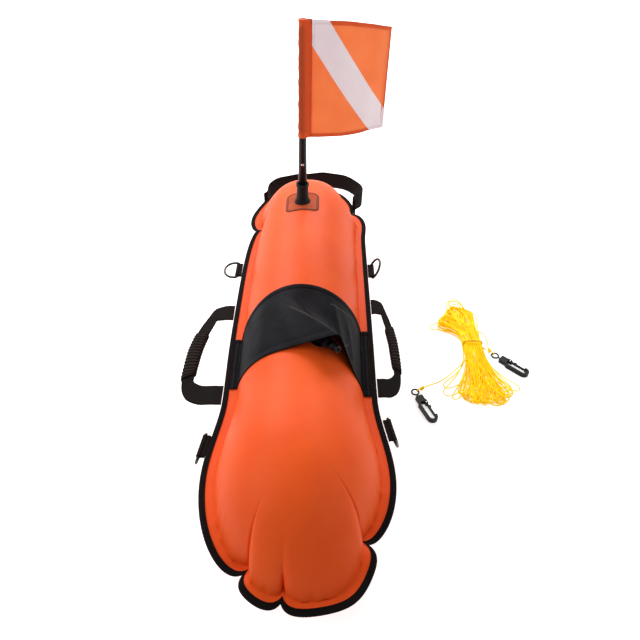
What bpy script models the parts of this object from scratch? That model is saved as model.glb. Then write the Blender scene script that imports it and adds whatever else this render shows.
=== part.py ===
"""Dive flag buoy: an inflated torpedo float with a mast and flag, grab handles, rings and a line."""
import math

import bmesh
import bpy
import numpy as np
from mathutils import Matrix, Vector

# Float outline, all in metres. x runs across, y from the nose to the tail, z up from the seam.
FLOAT_LENGTH = 0.985
NOSE_WIDTH = 0.278
TAIL_WIDTH = 0.250
NOSE_CAP = 0.190
TAIL_CAP = 0.205
SHOULDER_LENGTH = 0.140
WAIST_PINCH = 0.002
WAIST_Y = 0.335
WAIST_SPAN = 0.080
NOSE_DRIFT = 0.006
NOSE_ROUNDNESS_SHARE = 2.0
TAIL_ROUNDNESS_SHARE = 2.4

# Float section
FABRIC = 0.0008
FLANGE_WIDTH = 0.022
NOSE_FLANGE_CUT = 0.005
NOSE_FLANGE_REACH = 0.150
BINDING_WIDTH = 0.0090
BINDING_THICKNESS = 0.0009
CLEARANCE = 0.0003
BINDING_CLEARANCE = 0.0006
TOP_HEIGHT_SHARE = 0.96
BELLY_DEPTH = 0.100
BELLY_FLAT_SHARE = 0.95
BELLY_FULLNESS_SHARE = 0.7
LENS_ANGLE = math.radians(15)

# Pleats where the flat panels are drawn in at the round ends. Place is a share of half the rim,
# positive to the right; the widths are measured before and after the crease.
PLEAT_DEPTH = 0.030
PLEAT_WIDTH = 0.040
PLEAT_LIFT = 0.009
PLEAT_REACH_SHARE = 0.55
PLEAT_SHARES = (
    (0.131, 0.85, 0.28, 0.90, -1.0),
    (-0.0180, 0.47, 0.23, 0.23, 0.25),
    (-0.0820, 0.75, 0.55, 0.23, 1.0),
    (-0.778, 0.70, 0.40, 1.10, 0.6),
    (0.840, 0.75, 0.40, 0.50, -0.6),
)
SWELL_DEPTH = 0.008
SWELL_WIDTH = 0.035
SWELL_SHARES = ((0.067, 1.0), (0.800, 0.7), (-0.820, 0.5))

# Fineness of the float
CAP_STEP = 0.040
SIDE_STEPS = 9
DOME_STEPS = 5
CREASE_STATION_SHARES = (-1.8, -0.5, 0.0, 0.5, 1.8)
OUTLINE_SAMPLES = 400

ORANGE = (0.90, 0.115, 0.025)
BLACK = (0.012, 0.011, 0.012)


def clear_scene():
    for thing in list(bpy.data.objects):
        bpy.data.objects.remove(thing, do_unlink=True)


def new_material(name, colour, roughness, metallic=0.0):
    material = bpy.data.materials.new(name)
    material.use_nodes = True
    shader = material.node_tree.nodes["Principled BSDF"]
    shader.inputs["Base Color"].default_value = (*colour, 1.0)
    shader.inputs["Roughness"].default_value = roughness
    shader.inputs["Metallic"].default_value = metallic
    return material


clear_scene()
float_frame = bpy.data.objects.new("float_frame", None)
bpy.context.collection.objects.link(float_frame)
pieces = {}


def add_piece(name, shape, material, origin=(0.0, 0.0, 0.0)):
    """Makes a mesh object from a bmesh in float coordinates, with its origin where it turns."""
    bmesh.ops.translate(shape, verts=shape.verts, vec=-Vector(origin))
    mesh = bpy.data.meshes.new(name)
    shape.to_mesh(mesh)
    shape.free()
    mesh.shade_smooth()
    mesh.set_sharp_from_angle(angle=SMOOTH_ANGLE)
    return place_piece(name, mesh, material, origin)


SMOOTH_ANGLE = math.radians(35)


def place_piece(name, data, material, origin):
    thing = bpy.data.objects.new(name, data)
    data.materials.append(material)
    bpy.context.collection.objects.link(thing)
    thing.location = origin
    thing.parent = float_frame
    pieces[name] = thing
    return thing


def smooth_step(value):
    value = min(max(value, 0.0), 1.0)
    return value * value * (3 - 2 * value)


# The rim of the float

def side_half_width(y):
    """Half the width over the binding along the sides, without the rounding of the ends."""
    ease = smooth_step((y - NOSE_CAP) / SHOULDER_LENGTH)
    width = NOSE_WIDTH + (TAIL_WIDTH - NOSE_WIDTH) * ease
    return width / 2 - WAIST_PINCH * math.exp(-((y - WAIST_Y) / WAIST_SPAN) ** 2)


def axis_x(y):
    """The float's middle line drifts a little to the right at the nose."""
    return NOSE_DRIFT * (1 - smooth_step(2 * y / FLOAT_LENGTH))


def half_outline():
    """Dense points (offset from the axis, y) from the nose tip to the tail tip, on the right."""
    points = []
    turn = np.linspace(0.0, math.pi / 2, OUTLINE_SAMPLES)
    nose_power = 2 / NOSE_ROUNDNESS_SHARE
    tail_power = 2 / TAIL_ROUNDNESS_SHARE
    for angle in turn[:-1]:
        y = NOSE_CAP * (1 - math.cos(angle) ** nose_power)
        points.append((side_half_width(NOSE_CAP) * math.sin(angle) ** nose_power, y))
    for y in np.linspace(NOSE_CAP, FLOAT_LENGTH - TAIL_CAP, OUTLINE_SAMPLES):
        points.append((side_half_width(y), y))
    for angle in turn[::-1][1:]:
        reach = max(math.cos(angle), 0.0) ** tail_power
        y = FLOAT_LENGTH - TAIL_CAP + TAIL_CAP * reach
        points.append((side_half_width(y) * math.sin(angle) ** tail_power, y))
    return np.array(points)


HALF_OUTLINE = half_outline()
HALF_ARC = np.concatenate(([0.0], np.cumsum(np.linalg.norm(np.diff(HALF_OUTLINE, axis=0), axis=1))))
HALF_RIM = HALF_ARC[-1]


def smooth_rim_point(arc):
    """Point of the unpleated rim. arc is the way from the nose tip, negative on the left."""
    side = 1 if arc >= 0 else -1
    offset = np.interp(abs(arc), HALF_ARC, HALF_OUTLINE[:, 0])
    y = np.interp(abs(arc), HALF_ARC, HALF_OUTLINE[:, 1])
    return Vector((axis_x(y) + side * offset, y, 0.0))


NORMAL_REACH = 0.004
TIP_SLOPE_SHARE = 0.05


def rim_normal(arc):
    """Outward direction of the unpleated rim."""
    if abs(arc) > HALF_RIM - NORMAL_REACH:
        return Vector((arc / HALF_RIM * TIP_SLOPE_SHARE, 1.0, 0.0)).normalized() \
            if abs(arc) < HALF_RIM else Vector((0.0, 1.0, 0.0))
    along = smooth_rim_point(arc + NORMAL_REACH) - smooth_rim_point(arc - NORMAL_REACH)
    return Vector((along.y, -along.x, 0.0)).normalized()


def pleat_shift(arc):
    """How far the rim is drawn in and lifted by the pleats at a place along it."""
    drawn = 0.0
    lift = 0.0
    for place, depth, before, after, rise in PLEAT_SHARES:
        way = arc - place * HALF_RIM
        width = PLEAT_WIDTH * (after if way > 0 else before)
        drawn += PLEAT_DEPTH * depth * math.exp(-abs(way) / width)
        turn = way / (PLEAT_WIDTH / 2)
        lift += PLEAT_LIFT * rise * turn * math.exp(1 - abs(turn))
    for place, size in SWELL_SHARES:
        drawn -= SWELL_DEPTH * size * math.exp(-((arc - place * HALF_RIM) / SWELL_WIDTH) ** 2)
    return drawn, lift


CREASE_WIDEST_SHARE = 0.5
STATION_GAP = 0.003
TINY = 1e-9


def rim_arcs():
    """Places of the stations round the rim: close together at the pleats, in pairs on the sides."""
    nose_arc = np.interp(NOSE_CAP, HALF_OUTLINE[:, 1], HALF_ARC)
    tail_arc = np.interp(FLOAT_LENGTH - TAIL_CAP, HALF_OUTLINE[:, 1], HALF_ARC)
    side = list(np.linspace(nose_arc, tail_arc, SIDE_STEPS + 1))
    keys = [-HALF_RIM, -tail_arc, -nose_arc, 0.0, nose_arc, tail_arc, HALF_RIM]
    for place, depth, before, after, rise in PLEAT_SHARES:
        for step in CREASE_STATION_SHARES:
            width = PLEAT_WIDTH * min(after if step > 0 else before, CREASE_WIDEST_SHARE)
            keys.append(place * HALF_RIM + step * width)
    caps = [key for key in sorted(keys)
            if abs(key) <= nose_arc + TINY or tail_arc - TINY <= abs(key) <= HALF_RIM + TINY]
    arcs = []
    for first, second in zip(caps, caps[1:]):
        if second - first < STATION_GAP and abs(second) not in (nose_arc, tail_arc):
            continue
        arcs.append(first)
        if first * second > 0 and abs(abs(first) + abs(second) - nose_arc - tail_arc) < TINY:
            arcs += [math.copysign(place, first) for place in
                     (side[1:-1] if first > 0 else side[-2:0:-1])]
            continue
        count = math.ceil((second - first) / CAP_STEP)
        arcs += [first + (second - first) * step / count for step in range(1, count)]
    return arcs


ARCS = rim_arcs()


def weld_inset(arc):
    """How far the weld line lies inside the binding's outer edge; the nose has a narrower flange."""
    return FLANGE_WIDTH - NOSE_FLANGE_CUT * math.exp(-(arc / NOSE_FLANGE_REACH) ** 2)


def spine_point(arc):
    """The point on the float's middle line that a station's rib runs up to."""
    y = smooth_rim_point(arc).y
    y = min(max(y, NOSE_CAP), FLOAT_LENGTH - TAIL_CAP)
    return Vector((axis_x(y), y, 0.0))


def dome_height(y):
    """Height of the top panel over the seam on the middle line."""
    y = min(max(y, NOSE_CAP), FLOAT_LENGTH - TAIL_CAP)
    return (side_half_width(y) - FLANGE_WIDTH) * TOP_HEIGHT_SHARE


FLANGE_EDGE = BINDING_THICKNESS + BINDING_CLEARANCE
SEAM_HALF = CLEARANCE / 2 + FABRIC
FLOOR_Z = -BELLY_DEPTH - SEAM_HALF


def rib_point(arc, climb, top):
    """Outer surface at a share of the way from the weld line (0) to the middle line (1)."""
    drawn, lift = pleat_shift(arc)
    fade = max(1 - climb / PLEAT_REACH_SHARE, 0.0) ** 2
    weld = smooth_rim_point(arc) - rim_normal(arc) * (weld_inset(arc) + drawn * fade)
    spine = spine_point(arc)
    angle = LENS_ANGLE + (math.pi / 2 - LENS_ANGLE) * climb
    reach = math.cos(angle) / math.cos(LENS_ANGLE)
    height = (math.sin(angle) - math.sin(LENS_ANGLE)) / (1 - math.sin(LENS_ANGLE))
    if top:
        point = spine + (weld - spine) * reach
        point.z = SEAM_HALF + dome_height(spine.y) * height + lift * fade
    else:
        point = spine + (weld - spine) * reach ** BELLY_FULLNESS_SHARE
        point.z = lift * fade - SEAM_HALF - BELLY_DEPTH * min(height / BELLY_FLAT_SHARE, 1.0)
    return point


def flange_point(arc, inset, height):
    """A point of the seam at a distance in from the binding's outer edge."""
    drawn, lift = pleat_shift(arc)
    point = smooth_rim_point(arc) - rim_normal(arc) * (drawn + inset)
    point.z = lift + height
    return point


def inner_wall_shift(arc, climb, top):
    """From the outer face of a panel to its inner face, square to the rib."""
    angle = LENS_ANGLE + (math.pi / 2 - LENS_ANGLE) * climb
    inward = (spine_point(arc) - smooth_rim_point(arc)).normalized() * math.cos(angle)
    inward.z = -1.0 if climb == 0 else -math.sin(angle)
    if not top:
        inward.z *= -1
    return inward * FABRIC


MERGE_DISTANCE = 0.00002


def build_panel(name, top, material):
    """One fabric panel: its flange in the seam and its dome, as a thin shell."""
    side = 1 if top else -1
    shape = bmesh.new()
    outer_rings = []
    inner_rings = []
    for arc in ARCS:
        outer = [flange_point(arc, inset, side * SEAM_HALF) for inset in (FLANGE_EDGE, BINDING_WIDTH)]
        inner = [point - Vector((0.0, 0.0, side * FABRIC)) for point in outer]
        for step in range(DOME_STEPS + 1):
            climb = step / DOME_STEPS
            outer.append(rib_point(arc, climb, top))
            inner.append(outer[-1] + inner_wall_shift(arc, climb, top))
        outer_rings.append([shape.verts.new(point) for point in outer])
        inner_rings.append([shape.verts.new(point) for point in inner])
    for here in range(len(ARCS)):
        after = (here + 1) % len(ARCS)
        edge = [inner_rings[here][0], inner_rings[after][0], outer_rings[after][0], outer_rings[here][0]]
        shape.faces.new(edge if top else edge[::-1])
        for rings, outwards in ((outer_rings, top), (inner_rings, not top)):
            for step in range(DOME_STEPS + 2):
                first, last = rings[here][step], rings[after][step + 1]
                for corners in ((first, rings[after][step], last), (first, last, rings[here][step + 1])):
                    if len(set(corners)) == 3:
                        shape.faces.new(corners if outwards else corners[::-1])
    bmesh.ops.remove_doubles(shape, verts=shape.verts, dist=MERGE_DISTANCE)
    return add_piece(name, shape, material)


def build_binding(material):
    """The tape folded round the flange: one U section swept round the rim."""
    inner = SEAM_HALF + BINDING_CLEARANCE
    outer = inner + BINDING_THICKNESS
    corner = outer / 2
    section = ((BINDING_WIDTH, outer), (corner, outer), (0.0, corner), (0.0, -corner),
               (corner, -outer), (BINDING_WIDTH, -outer), (BINDING_WIDTH, -inner),
               (BINDING_THICKNESS, -inner), (BINDING_THICKNESS, inner), (BINDING_WIDTH, inner))
    shape = bmesh.new()
    rings = [[shape.verts.new(flange_point(arc, inset, height)) for inset, height in section]
             for arc in ARCS]
    for ring, following in zip(rings, rings[1:] + rings[:1]):
        for step in range(len(section)):
            after = (step + 1) % len(section)
            shape.faces.new([ring[step], ring[after], following[after], following[step]])
    bmesh.ops.recalc_face_normals(shape, faces=shape.faces)
    return add_piece("edge_binding", shape, material)


orange_fabric = new_material("orange coated fabric", ORANGE, 0.42)
black_tape = new_material("black woven tape", BLACK, 0.8)
build_panel("top_panel", True, orange_fabric)
build_panel("bottom_panel", False, orange_fabric)
build_binding(black_tape)


# Shapes that several pieces share

def new_shape(loops_list, closed=False):
    """A solid through loops of points, its ends closed flat unless it runs round on itself."""
    shape = bmesh.new()
    rows = [[shape.verts.new(point) for point in loop] for loop in loops_list]
    pairs = list(zip(rows, rows[1:] + rows[:1])) if closed else list(zip(rows, rows[1:]))
    for row, following in pairs:
        for step in range(len(row)):
            after = (step + 1) % len(row)
            shape.faces.new([row[step], row[after], following[after], following[step]])
    if not closed:
        shape.faces.new(rows[0])
        shape.faces.new(rows[-1])
    bmesh.ops.recalc_face_normals(shape, faces=shape.faces)
    return shape


def new_sleeve(outer_loops, inner_loops, lid=False):
    """A hollow solid between outer and inner loops; with a lid its far end is closed."""
    shape = bmesh.new()
    outer = [[shape.verts.new(point) for point in loop] for loop in outer_loops]
    inner = [[shape.verts.new(point) for point in loop] for loop in inner_loops]
    for rows in (outer, inner):
        for row, following in zip(rows, rows[1:]):
            for step in range(len(row)):
                after = (step + 1) % len(row)
                shape.faces.new([row[step], row[after], following[after], following[step]])
    ends = (0,) if lid else (0, -1)
    for end in ends:
        for step in range(len(outer[end])):
            after = (step + 1) % len(outer[end])
            shape.faces.new([outer[end][step], outer[end][after], inner[end][after], inner[end][step]])
    if lid:
        shape.faces.new(outer[-1])
        shape.faces.new(inner[-1])
    bmesh.ops.recalc_face_normals(shape, faces=shape.faces)
    return shape


def turned(profile, steps, ring=False):
    """A shape turned about z from (radius, height) points; a ring's profile closes on itself."""
    shape = bmesh.new()
    verts = [shape.verts.new((radius, 0.0, height)) for radius, height in profile]
    edges = [shape.edges.new(pair) for pair in zip(verts, verts[1:])]
    if ring:
        edges.append(shape.edges.new((verts[-1], verts[0])))
    bmesh.ops.spin(shape, geom=verts + edges, cent=(0, 0, 0), axis=(0, 0, 1), dvec=(0, 0, 0),
                   angle=2 * math.pi, steps=steps, use_merge=True)
    bmesh.ops.remove_doubles(shape, verts=shape.verts, dist=MERGE_DISTANCE)
    bmesh.ops.recalc_face_normals(shape, faces=shape.faces)
    return shape


def extruded(outline, low, high):
    """A flat outline of (x, y) points made into a plate from low to high."""
    return new_shape([[Vector((x, y, z)) for x, y in outline] for z in (low, high)])


def arc_points(centre, radius, first, last, count):
    """Points on an arc, its angles in degrees."""
    angles = [math.radians(first + (last - first) * step / (count - 1)) for step in range(count)]
    return [(centre[0] + radius * math.cos(angle), centre[1] + radius * math.sin(angle))
            for angle in angles]


def add_tube(name, points, diameter, material, origin=(0.0, 0.0, 0.0), closed=False, sides=1):
    """A round cord or wire as a curve with a bevel. sides is the bevel's resolution."""
    curve = bpy.data.curves.new(name, "CURVE")
    curve.dimensions = "3D"
    curve.bevel_depth = diameter / 2
    curve.bevel_resolution = sides
    curve.use_fill_caps = not closed
    spline = curve.splines.new("POLY")
    spline.points.add(len(points) - 1)
    spline.use_cyclic_u = closed
    for place, point in zip(spline.points, points):
        place.co = (*(Vector(point) - Vector(origin)), 1.0)
    return place_piece(name, curve, material, origin)


def cut(thing, cutter_shape, name, operation="DIFFERENCE"):
    """Takes a cutter, made where the piece is, out of a piece, or joins it on."""
    mesh = bpy.data.meshes.new(name)
    bmesh.ops.recalc_face_normals(cutter_shape, faces=cutter_shape.faces)
    cutter_shape.to_mesh(mesh)
    cutter_shape.free()
    cutter = bpy.data.objects.new(name, mesh)
    bpy.context.collection.objects.link(cutter)
    cutter.parent = float_frame
    cutter.hide_render = True
    cutter.display_type = "WIRE"
    bore = thing.modifiers.new(name, "BOOLEAN")
    bore.operation = operation
    bore.solver = "EXACT"
    bore.object = cutter


def rod(radius, low, high, steps):
    return turned(((0.0, low), (radius, low), (radius, high), (0.0, high)), steps)


ROUTE_SAMPLES = 12


def smooth_route(points, step):
    """Points at even steps along a smooth curve through a route's own points."""
    points = [Vector(point) for point in points]
    ends = [2 * points[0] - points[1]] + points + [2 * points[-1] - points[-2]]
    dense = []
    for index in range(1, len(ends) - 2):
        before, here, there, after = ends[index - 1:index + 3]
        for part in range(ROUTE_SAMPLES):
            share = part / ROUTE_SAMPLES
            dense.append(0.5 * (2 * here + (there - before) * share
                                + (2 * before - 5 * here + 4 * there - after) * share ** 2
                                + (3 * here - before - 3 * there + after) * share ** 3))
    dense.append(points[-1])
    ways = [0.0]
    for here, there in zip(dense, dense[1:]):
        ways.append(ways[-1] + (there - here).length)
    count = max(round(ways[-1] / step), 2)
    wanted = np.linspace(0.0, ways[-1], count + 1)
    columns = [np.interp(wanted, ways, [point[axis] for point in dense]) for axis in range(3)]
    return [Vector(point) for point in zip(*columns)]


SIDE_ARCS = [arc for arc in ARCS if arc > 0 and
             NOSE_CAP - TINY <= smooth_rim_point(arc).y <= FLOAT_LENGTH - TAIL_CAP + TINY]
SIDE_YS = [smooth_rim_point(arc).y for arc in SIDE_ARCS]


def panel_top(across, y):
    """Point on the top panel's own facets: across from -1 at the left weld to 1 at the right."""
    index = min(max(int(np.searchsorted(SIDE_YS, y)) - 1, 0), len(SIDE_YS) - 2)
    share = (y - SIDE_YS[index]) / (SIDE_YS[index + 1] - SIDE_YS[index])
    climb = (1 - abs(across)) * DOME_STEPS
    step = min(int(climb), DOME_STEPS - 1)
    side = -1 if across < 0 else 1
    ends = []
    for arc in SIDE_ARCS[index:index + 2]:
        low, high = (rib_point(side * arc, level / DOME_STEPS, True) for level in (step, step + 1))
        ends.append(low.lerp(high, climb - step))
    return ends[0].lerp(ends[1], share)


def top_surface(x, y):
    """Height of the top panel's facets over a place in the straight part of the float."""
    section = [panel_top(step / DOME_STEPS, y) for step in range(-DOME_STEPS, DOME_STEPS + 1)]
    return float(np.interp(x, [point.x for point in section], [point.z for point in section]))


def ridge_x(y, step):
    """Where a fold between two facets of the top panel runs, counted from the middle line."""
    return panel_top(step / DOME_STEPS, y).x


# Band over the waist, raised like a tent over the valve

BAND_THICKNESS = 0.0008
BAND_NEAR_Y = 0.348
BAND_NEAR_LEFT_Y = 0.352
BAND_NEAR_RIGHT_Y = 0.338
BAND_FAR_Y = 0.4985
BAND_FAR_LEFT_Y = 0.464
BAND_FAR_RIGHT_Y = 0.487
BAND_COLUMNS = 20
BAND_ROWS = 6
TENT_ANGLE = math.radians(25)
TENT_FAR_ANGLE = math.radians(-11)
TENT_SPREAD = math.radians(48)
TENT_REACH_SHARE = 0.81
TENT_FADE_SHARE = 0.5


def tent_factor(angle, along):
    """How much further from the axis the band runs where it stretches over the valve."""
    if along >= TENT_REACH_SHARE:
        return 1.0
    near = 1 - along / TENT_REACH_SHARE
    middle = TENT_FAR_ANGLE + (TENT_ANGLE - TENT_FAR_ANGLE) * near
    spread = TENT_SPREAD * near ** TENT_FADE_SHARE
    if abs(angle - middle) >= spread:
        return 1.0
    return 1 / math.cos(spread - abs(angle - middle))


def band_point(across, along, height):
    """Point of the band: across from -1 at the left weld to 1 at the right, along from its near edge."""
    near_side = BAND_NEAR_RIGHT_Y if across > 0 else BAND_NEAR_LEFT_Y
    far_side = BAND_FAR_RIGHT_Y if across > 0 else BAND_FAR_LEFT_Y
    near = BAND_NEAR_Y + (near_side - BAND_NEAR_Y) * min(abs(across), 1.0) ** 3
    far = BAND_FAR_Y + (far_side - BAND_FAR_Y) * min(abs(across), 1.0) ** 2
    y = near + (far - near) * along
    side = 1 if across > 0 else -1
    if abs(across) > 1:
        reach = side_half_width(y) - BINDING_WIDTH - BINDING_CLEARANCE
        return Vector((axis_x(y) + side * reach, y, SEAM_HALF + CLEARANCE + height))
    point = panel_top(across, y) - Vector((axis_x(y), y, SEAM_HALF))
    if abs(across) == 1:
        point += Vector((side, 0.0, 1.0)) * (CLEARANCE + height)
    else:
        point += point.normalized() * (CLEARANCE + height)
    point *= tent_factor(math.atan2(point.x, point.z), along)
    return Vector((axis_x(y) + point.x, y, SEAM_HALF + point.z))


BAND_EDGE_SHARE = 1.05


def build_band(material):
    columns = [-BAND_EDGE_SHARE] + [step / BAND_COLUMNS for step in
                                    range(-BAND_COLUMNS, BAND_COLUMNS + 1)] + [BAND_EDGE_SHARE]
    sections = []
    for across in columns:
        lower = [band_point(across, row / BAND_ROWS, 0.0) for row in range(BAND_ROWS + 1)]
        upper = [band_point(across, row / BAND_ROWS, BAND_THICKNESS) for row in range(BAND_ROWS + 1)]
        sections.append(lower + upper[::-1])
    add_piece("centre_band", new_shape(sections), material)


black_fabric = new_material("black coated fabric", BLACK, 0.55)
build_band(black_fabric)

# Oral inflation valve under the near edge of the band

VALVE_X = 0.030
VALVE_Y = 0.373
VALVE_FOOT_RADIUS = 0.014
VALVE_FOOT_THICKNESS = 0.0014
VALVE_STEM_RADIUS = 0.0068
VALVE_BORE_RADIUS = 0.0056
VALVE_BARREL_LENGTH = 0.018
VALVE_BEND = 0.0055
VALVE_DIRECTION = Vector((0.640, -0.750, 0.090)).normalized()
LOCK_RING_RADIUS = 0.0097
LOCK_RING_LENGTH = 0.0095
LOCK_RING_SETBACK = 0.0018
LOCK_RING_RIBS = 14
RIB_DEPTH = 0.0009
MOUTHPIECE_LENGTH = 0.019
MOUTHPIECE_RADIUS = 0.0066
MOUTHPIECE_SPIGOT = 0.007
MOUTHPIECE_TRAVEL = 0.003
MOUTHPIECE_STAND_OFF = 0.0018
VALVE_SIDES = 14

valve_rubber = new_material("black valve rubber", (0.02, 0.02, 0.021), 0.5)
valve_plastic = new_material("black valve plastic", (0.018, 0.017, 0.018), 0.35)


def circle_loop(centre, direction, radii):
    """A loop of points round a centre, square to a direction, one radius for each point."""
    turn = direction.to_track_quat("Z", "Y").to_matrix()
    count = len(radii)
    return [centre + turn @ Vector((math.cos(2 * math.pi * step / count) * radius,
                                    math.sin(2 * math.pi * step / count) * radius, 0.0))
            for step, radius in enumerate(radii)]


valve_seat = Vector((VALVE_X, VALVE_Y, top_surface(VALVE_X, VALVE_Y)))
valve_normal = Vector((VALVE_X - axis_x(VALVE_Y), 0.0, valve_seat.z)).normalized()
foot_base = valve_seat + valve_normal * CLEARANCE
FOOT_RING_SHARES = ((1.0, 0.0), (1.0, 0.5), (0.5, 1.0))


def seated_disc(centre_x, centre_y, fold_x, radius, lift, thickness, rings, sides):
    """A round foot whose underside lies on the top panel's facets, with its middle on their fold."""
    loops = []
    for reach, rise in rings:
        loop = []
        for step in range(sides):
            x = centre_x + radius * reach * math.cos(2 * math.pi * step / sides)
            y = centre_y + radius * reach * math.sin(2 * math.pi * step / sides)
            loop.append(Vector((x, y, top_surface(x, y) + lift + thickness * rise)))
        loops.append(loop)
    shape = new_shape(loops)
    ends = [face for face in shape.faces if len(face.verts) == sides]
    for face in ends:
        middle = shape.verts.new((fold_x, centre_y, 0.0))
        high = face.calc_center_median().z > top_surface(centre_x, centre_y) + lift + thickness / 2
        middle.co.z = top_surface(fold_x, centre_y) + lift + (thickness if high else 0.0)
        for edge in face.edges:
            shape.faces.new((*edge.verts, middle))
        shape.faces.remove(face)
    bmesh.ops.recalc_face_normals(shape, faces=shape.faces)
    return shape


add_piece("valve_foot", seated_disc(VALVE_X, VALVE_Y, ridge_x(VALVE_Y, 1), VALVE_FOOT_RADIUS, 2 * CLEARANCE,
                                    VALVE_FOOT_THICKNESS, FOOT_RING_SHARES, VALVE_SIDES), valve_rubber)

stem_start = foot_base + valve_normal * (VALVE_FOOT_THICKNESS + 4 * CLEARANCE)
bend_corner = stem_start + valve_normal * VALVE_BEND
barrel_start = bend_corner + VALVE_DIRECTION * VALVE_BEND
barrel_end = barrel_start + VALVE_DIRECTION * VALVE_BARREL_LENGTH
BEND_SHARES = (0.0, 0.3, 0.55, 0.8, 1.0)
stem_path = [stem_start.lerp(bend_corner, share).lerp(bend_corner.lerp(barrel_start, share), share)
             for share in BEND_SHARES] + [barrel_end]
stem_aims = [valve_normal.lerp(VALVE_DIRECTION, share).normalized() for share in BEND_SHARES]
stem_aims.append(VALVE_DIRECTION)


def stem_loops(radius):
    loops = []
    for centre, aim in zip(stem_path, stem_aims):
        side = aim.cross(valve_normal.cross(VALVE_DIRECTION).normalized()).normalized()
        other = aim.cross(side).normalized()
        loops.append([centre + (side * math.cos(2 * math.pi * step / VALVE_SIDES)
                                + other * math.sin(2 * math.pi * step / VALVE_SIDES)) * radius
                      for step in range(VALVE_SIDES)])
    return loops


add_piece("valve_stem", new_sleeve(stem_loops(VALVE_STEM_RADIUS), stem_loops(VALVE_BORE_RADIUS)),
          valve_rubber)

ring_start = barrel_end - VALVE_DIRECTION * (LOCK_RING_LENGTH + LOCK_RING_SETBACK)
ring_radii = [LOCK_RING_RADIUS - RIB_DEPTH * (step % 2) for step in range(2 * LOCK_RING_RIBS)]
ring_bore = [VALVE_STEM_RADIUS + CLEARANCE] * len(ring_radii)
ring_chamfer = [radius - RIB_DEPTH for radius in ring_radii]
ring_ends = (ring_start, ring_start + VALVE_DIRECTION * RIB_DEPTH,
             ring_start + VALVE_DIRECTION * (LOCK_RING_LENGTH - RIB_DEPTH),
             ring_start + VALVE_DIRECTION * LOCK_RING_LENGTH)
add_piece("valve_lock_ring",
          new_sleeve([circle_loop(centre, VALVE_DIRECTION, radii) for centre, radii in
                      zip(ring_ends, (ring_chamfer, ring_radii, ring_radii, ring_chamfer))],
                     [circle_loop(centre, VALVE_DIRECTION, ring_bore) for centre in ring_ends]),
          valve_plastic, origin=ring_start)

mouth_matrix = Matrix.Translation(barrel_end) @ VALVE_DIRECTION.to_track_quat("Z", "Y").to_matrix().to_4x4()
mouth_spigot = VALVE_BORE_RADIUS - CLEARANCE
mouth_back = MOUTHPIECE_TRAVEL + MOUTHPIECE_STAND_OFF
mouth_profile = (
    (0.0, -MOUTHPIECE_SPIGOT), (mouth_spigot, -MOUTHPIECE_SPIGOT), (mouth_spigot, mouth_back),
    (MOUTHPIECE_RADIUS, mouth_back), (MOUTHPIECE_RADIUS, mouth_back + MOUTHPIECE_LENGTH * 0.3),
    (MOUTHPIECE_RADIUS * 0.8, mouth_back + MOUTHPIECE_LENGTH * 0.38),
    (MOUTHPIECE_RADIUS * 0.8, mouth_back + MOUTHPIECE_LENGTH * 0.55),
    (MOUTHPIECE_RADIUS * 0.95, mouth_back + MOUTHPIECE_LENGTH * 0.62),
    (MOUTHPIECE_RADIUS * 0.9, MOUTHPIECE_LENGTH), (MOUTHPIECE_RADIUS * 0.5, MOUTHPIECE_LENGTH),
    (MOUTHPIECE_RADIUS * 0.45, MOUTHPIECE_LENGTH * 0.5), (0.0, MOUTHPIECE_LENGTH * 0.5))
mouth_shape = turned(mouth_profile, VALVE_SIDES)
mouth_shape.transform(mouth_matrix)
add_piece("valve_mouthpiece", mouth_shape, valve_plastic, origin=barrel_end)

# Mast: patch, socket, tube with its foot plug, cross pin and cap

MAST_X = -0.0055
MAST_Y = 0.7615
MAST_LEAN = math.radians(1.2)
PATCH_SIZE = 0.066
PATCH_CORNER = 0.012
PATCH_THICKNESS = 0.0008
SOCKET_HEIGHT = 0.040
SOCKET_FOOT_RADIUS = 0.0155
SOCKET_RADIUS = 0.0113
SOCKET_COLLAR_RADIUS = 0.0126
SOCKET_COLLAR_HEIGHT = 0.006
SOCKET_FLOOR = 0.004
MAST_FOOT_RADIUS = 0.0090
MAST_FLAG_RADIUS = 0.0070
MAST_TOP_RADIUS = 0.0060
MAST_WALL = 0.0015
FLAG_BOTTOM = 0.136
FLAG_TOP = 0.337
PIN_HEIGHT = 0.083
PIN_RADIUS = 0.0019
PIN_HEAD_RADIUS = 0.0028
PIN_HEAD_HEIGHT = 0.0010
MAST_PULL = 0.034
MAST_SIDES = 20
CROSS_PIN_SIDES = 10

mast_rubber = new_material("black socket rubber", (0.02, 0.019, 0.019), 0.6)
mast_plastic = new_material("black mast tube", (0.022, 0.018, 0.019), 0.4)
patch_film = new_material("clear orange patch", (0.72, 0.16, 0.06), 0.25)
bright_metal = new_material("bright pin", (0.8, 0.79, 0.78), 0.25, 1.0)

mast_seat = top_surface(MAST_X, MAST_Y) + PATCH_THICKNESS + 2 * CLEARANCE
mast_base = Vector((MAST_X, MAST_Y, mast_seat))
mast_matrix = Matrix.Translation(mast_base) @ Matrix.Rotation(MAST_LEAN, 4, "Y")

PATCH_ROW_SHARES = (-1.0, -0.9, -0.64, 0.0, 0.64, 0.9, 1.0)
PATCH_COLUMN_SHARES = (-1.0, -0.4, 0.5, 1.0)


PATCH_CORNER_SHARE = 0.9


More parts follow.
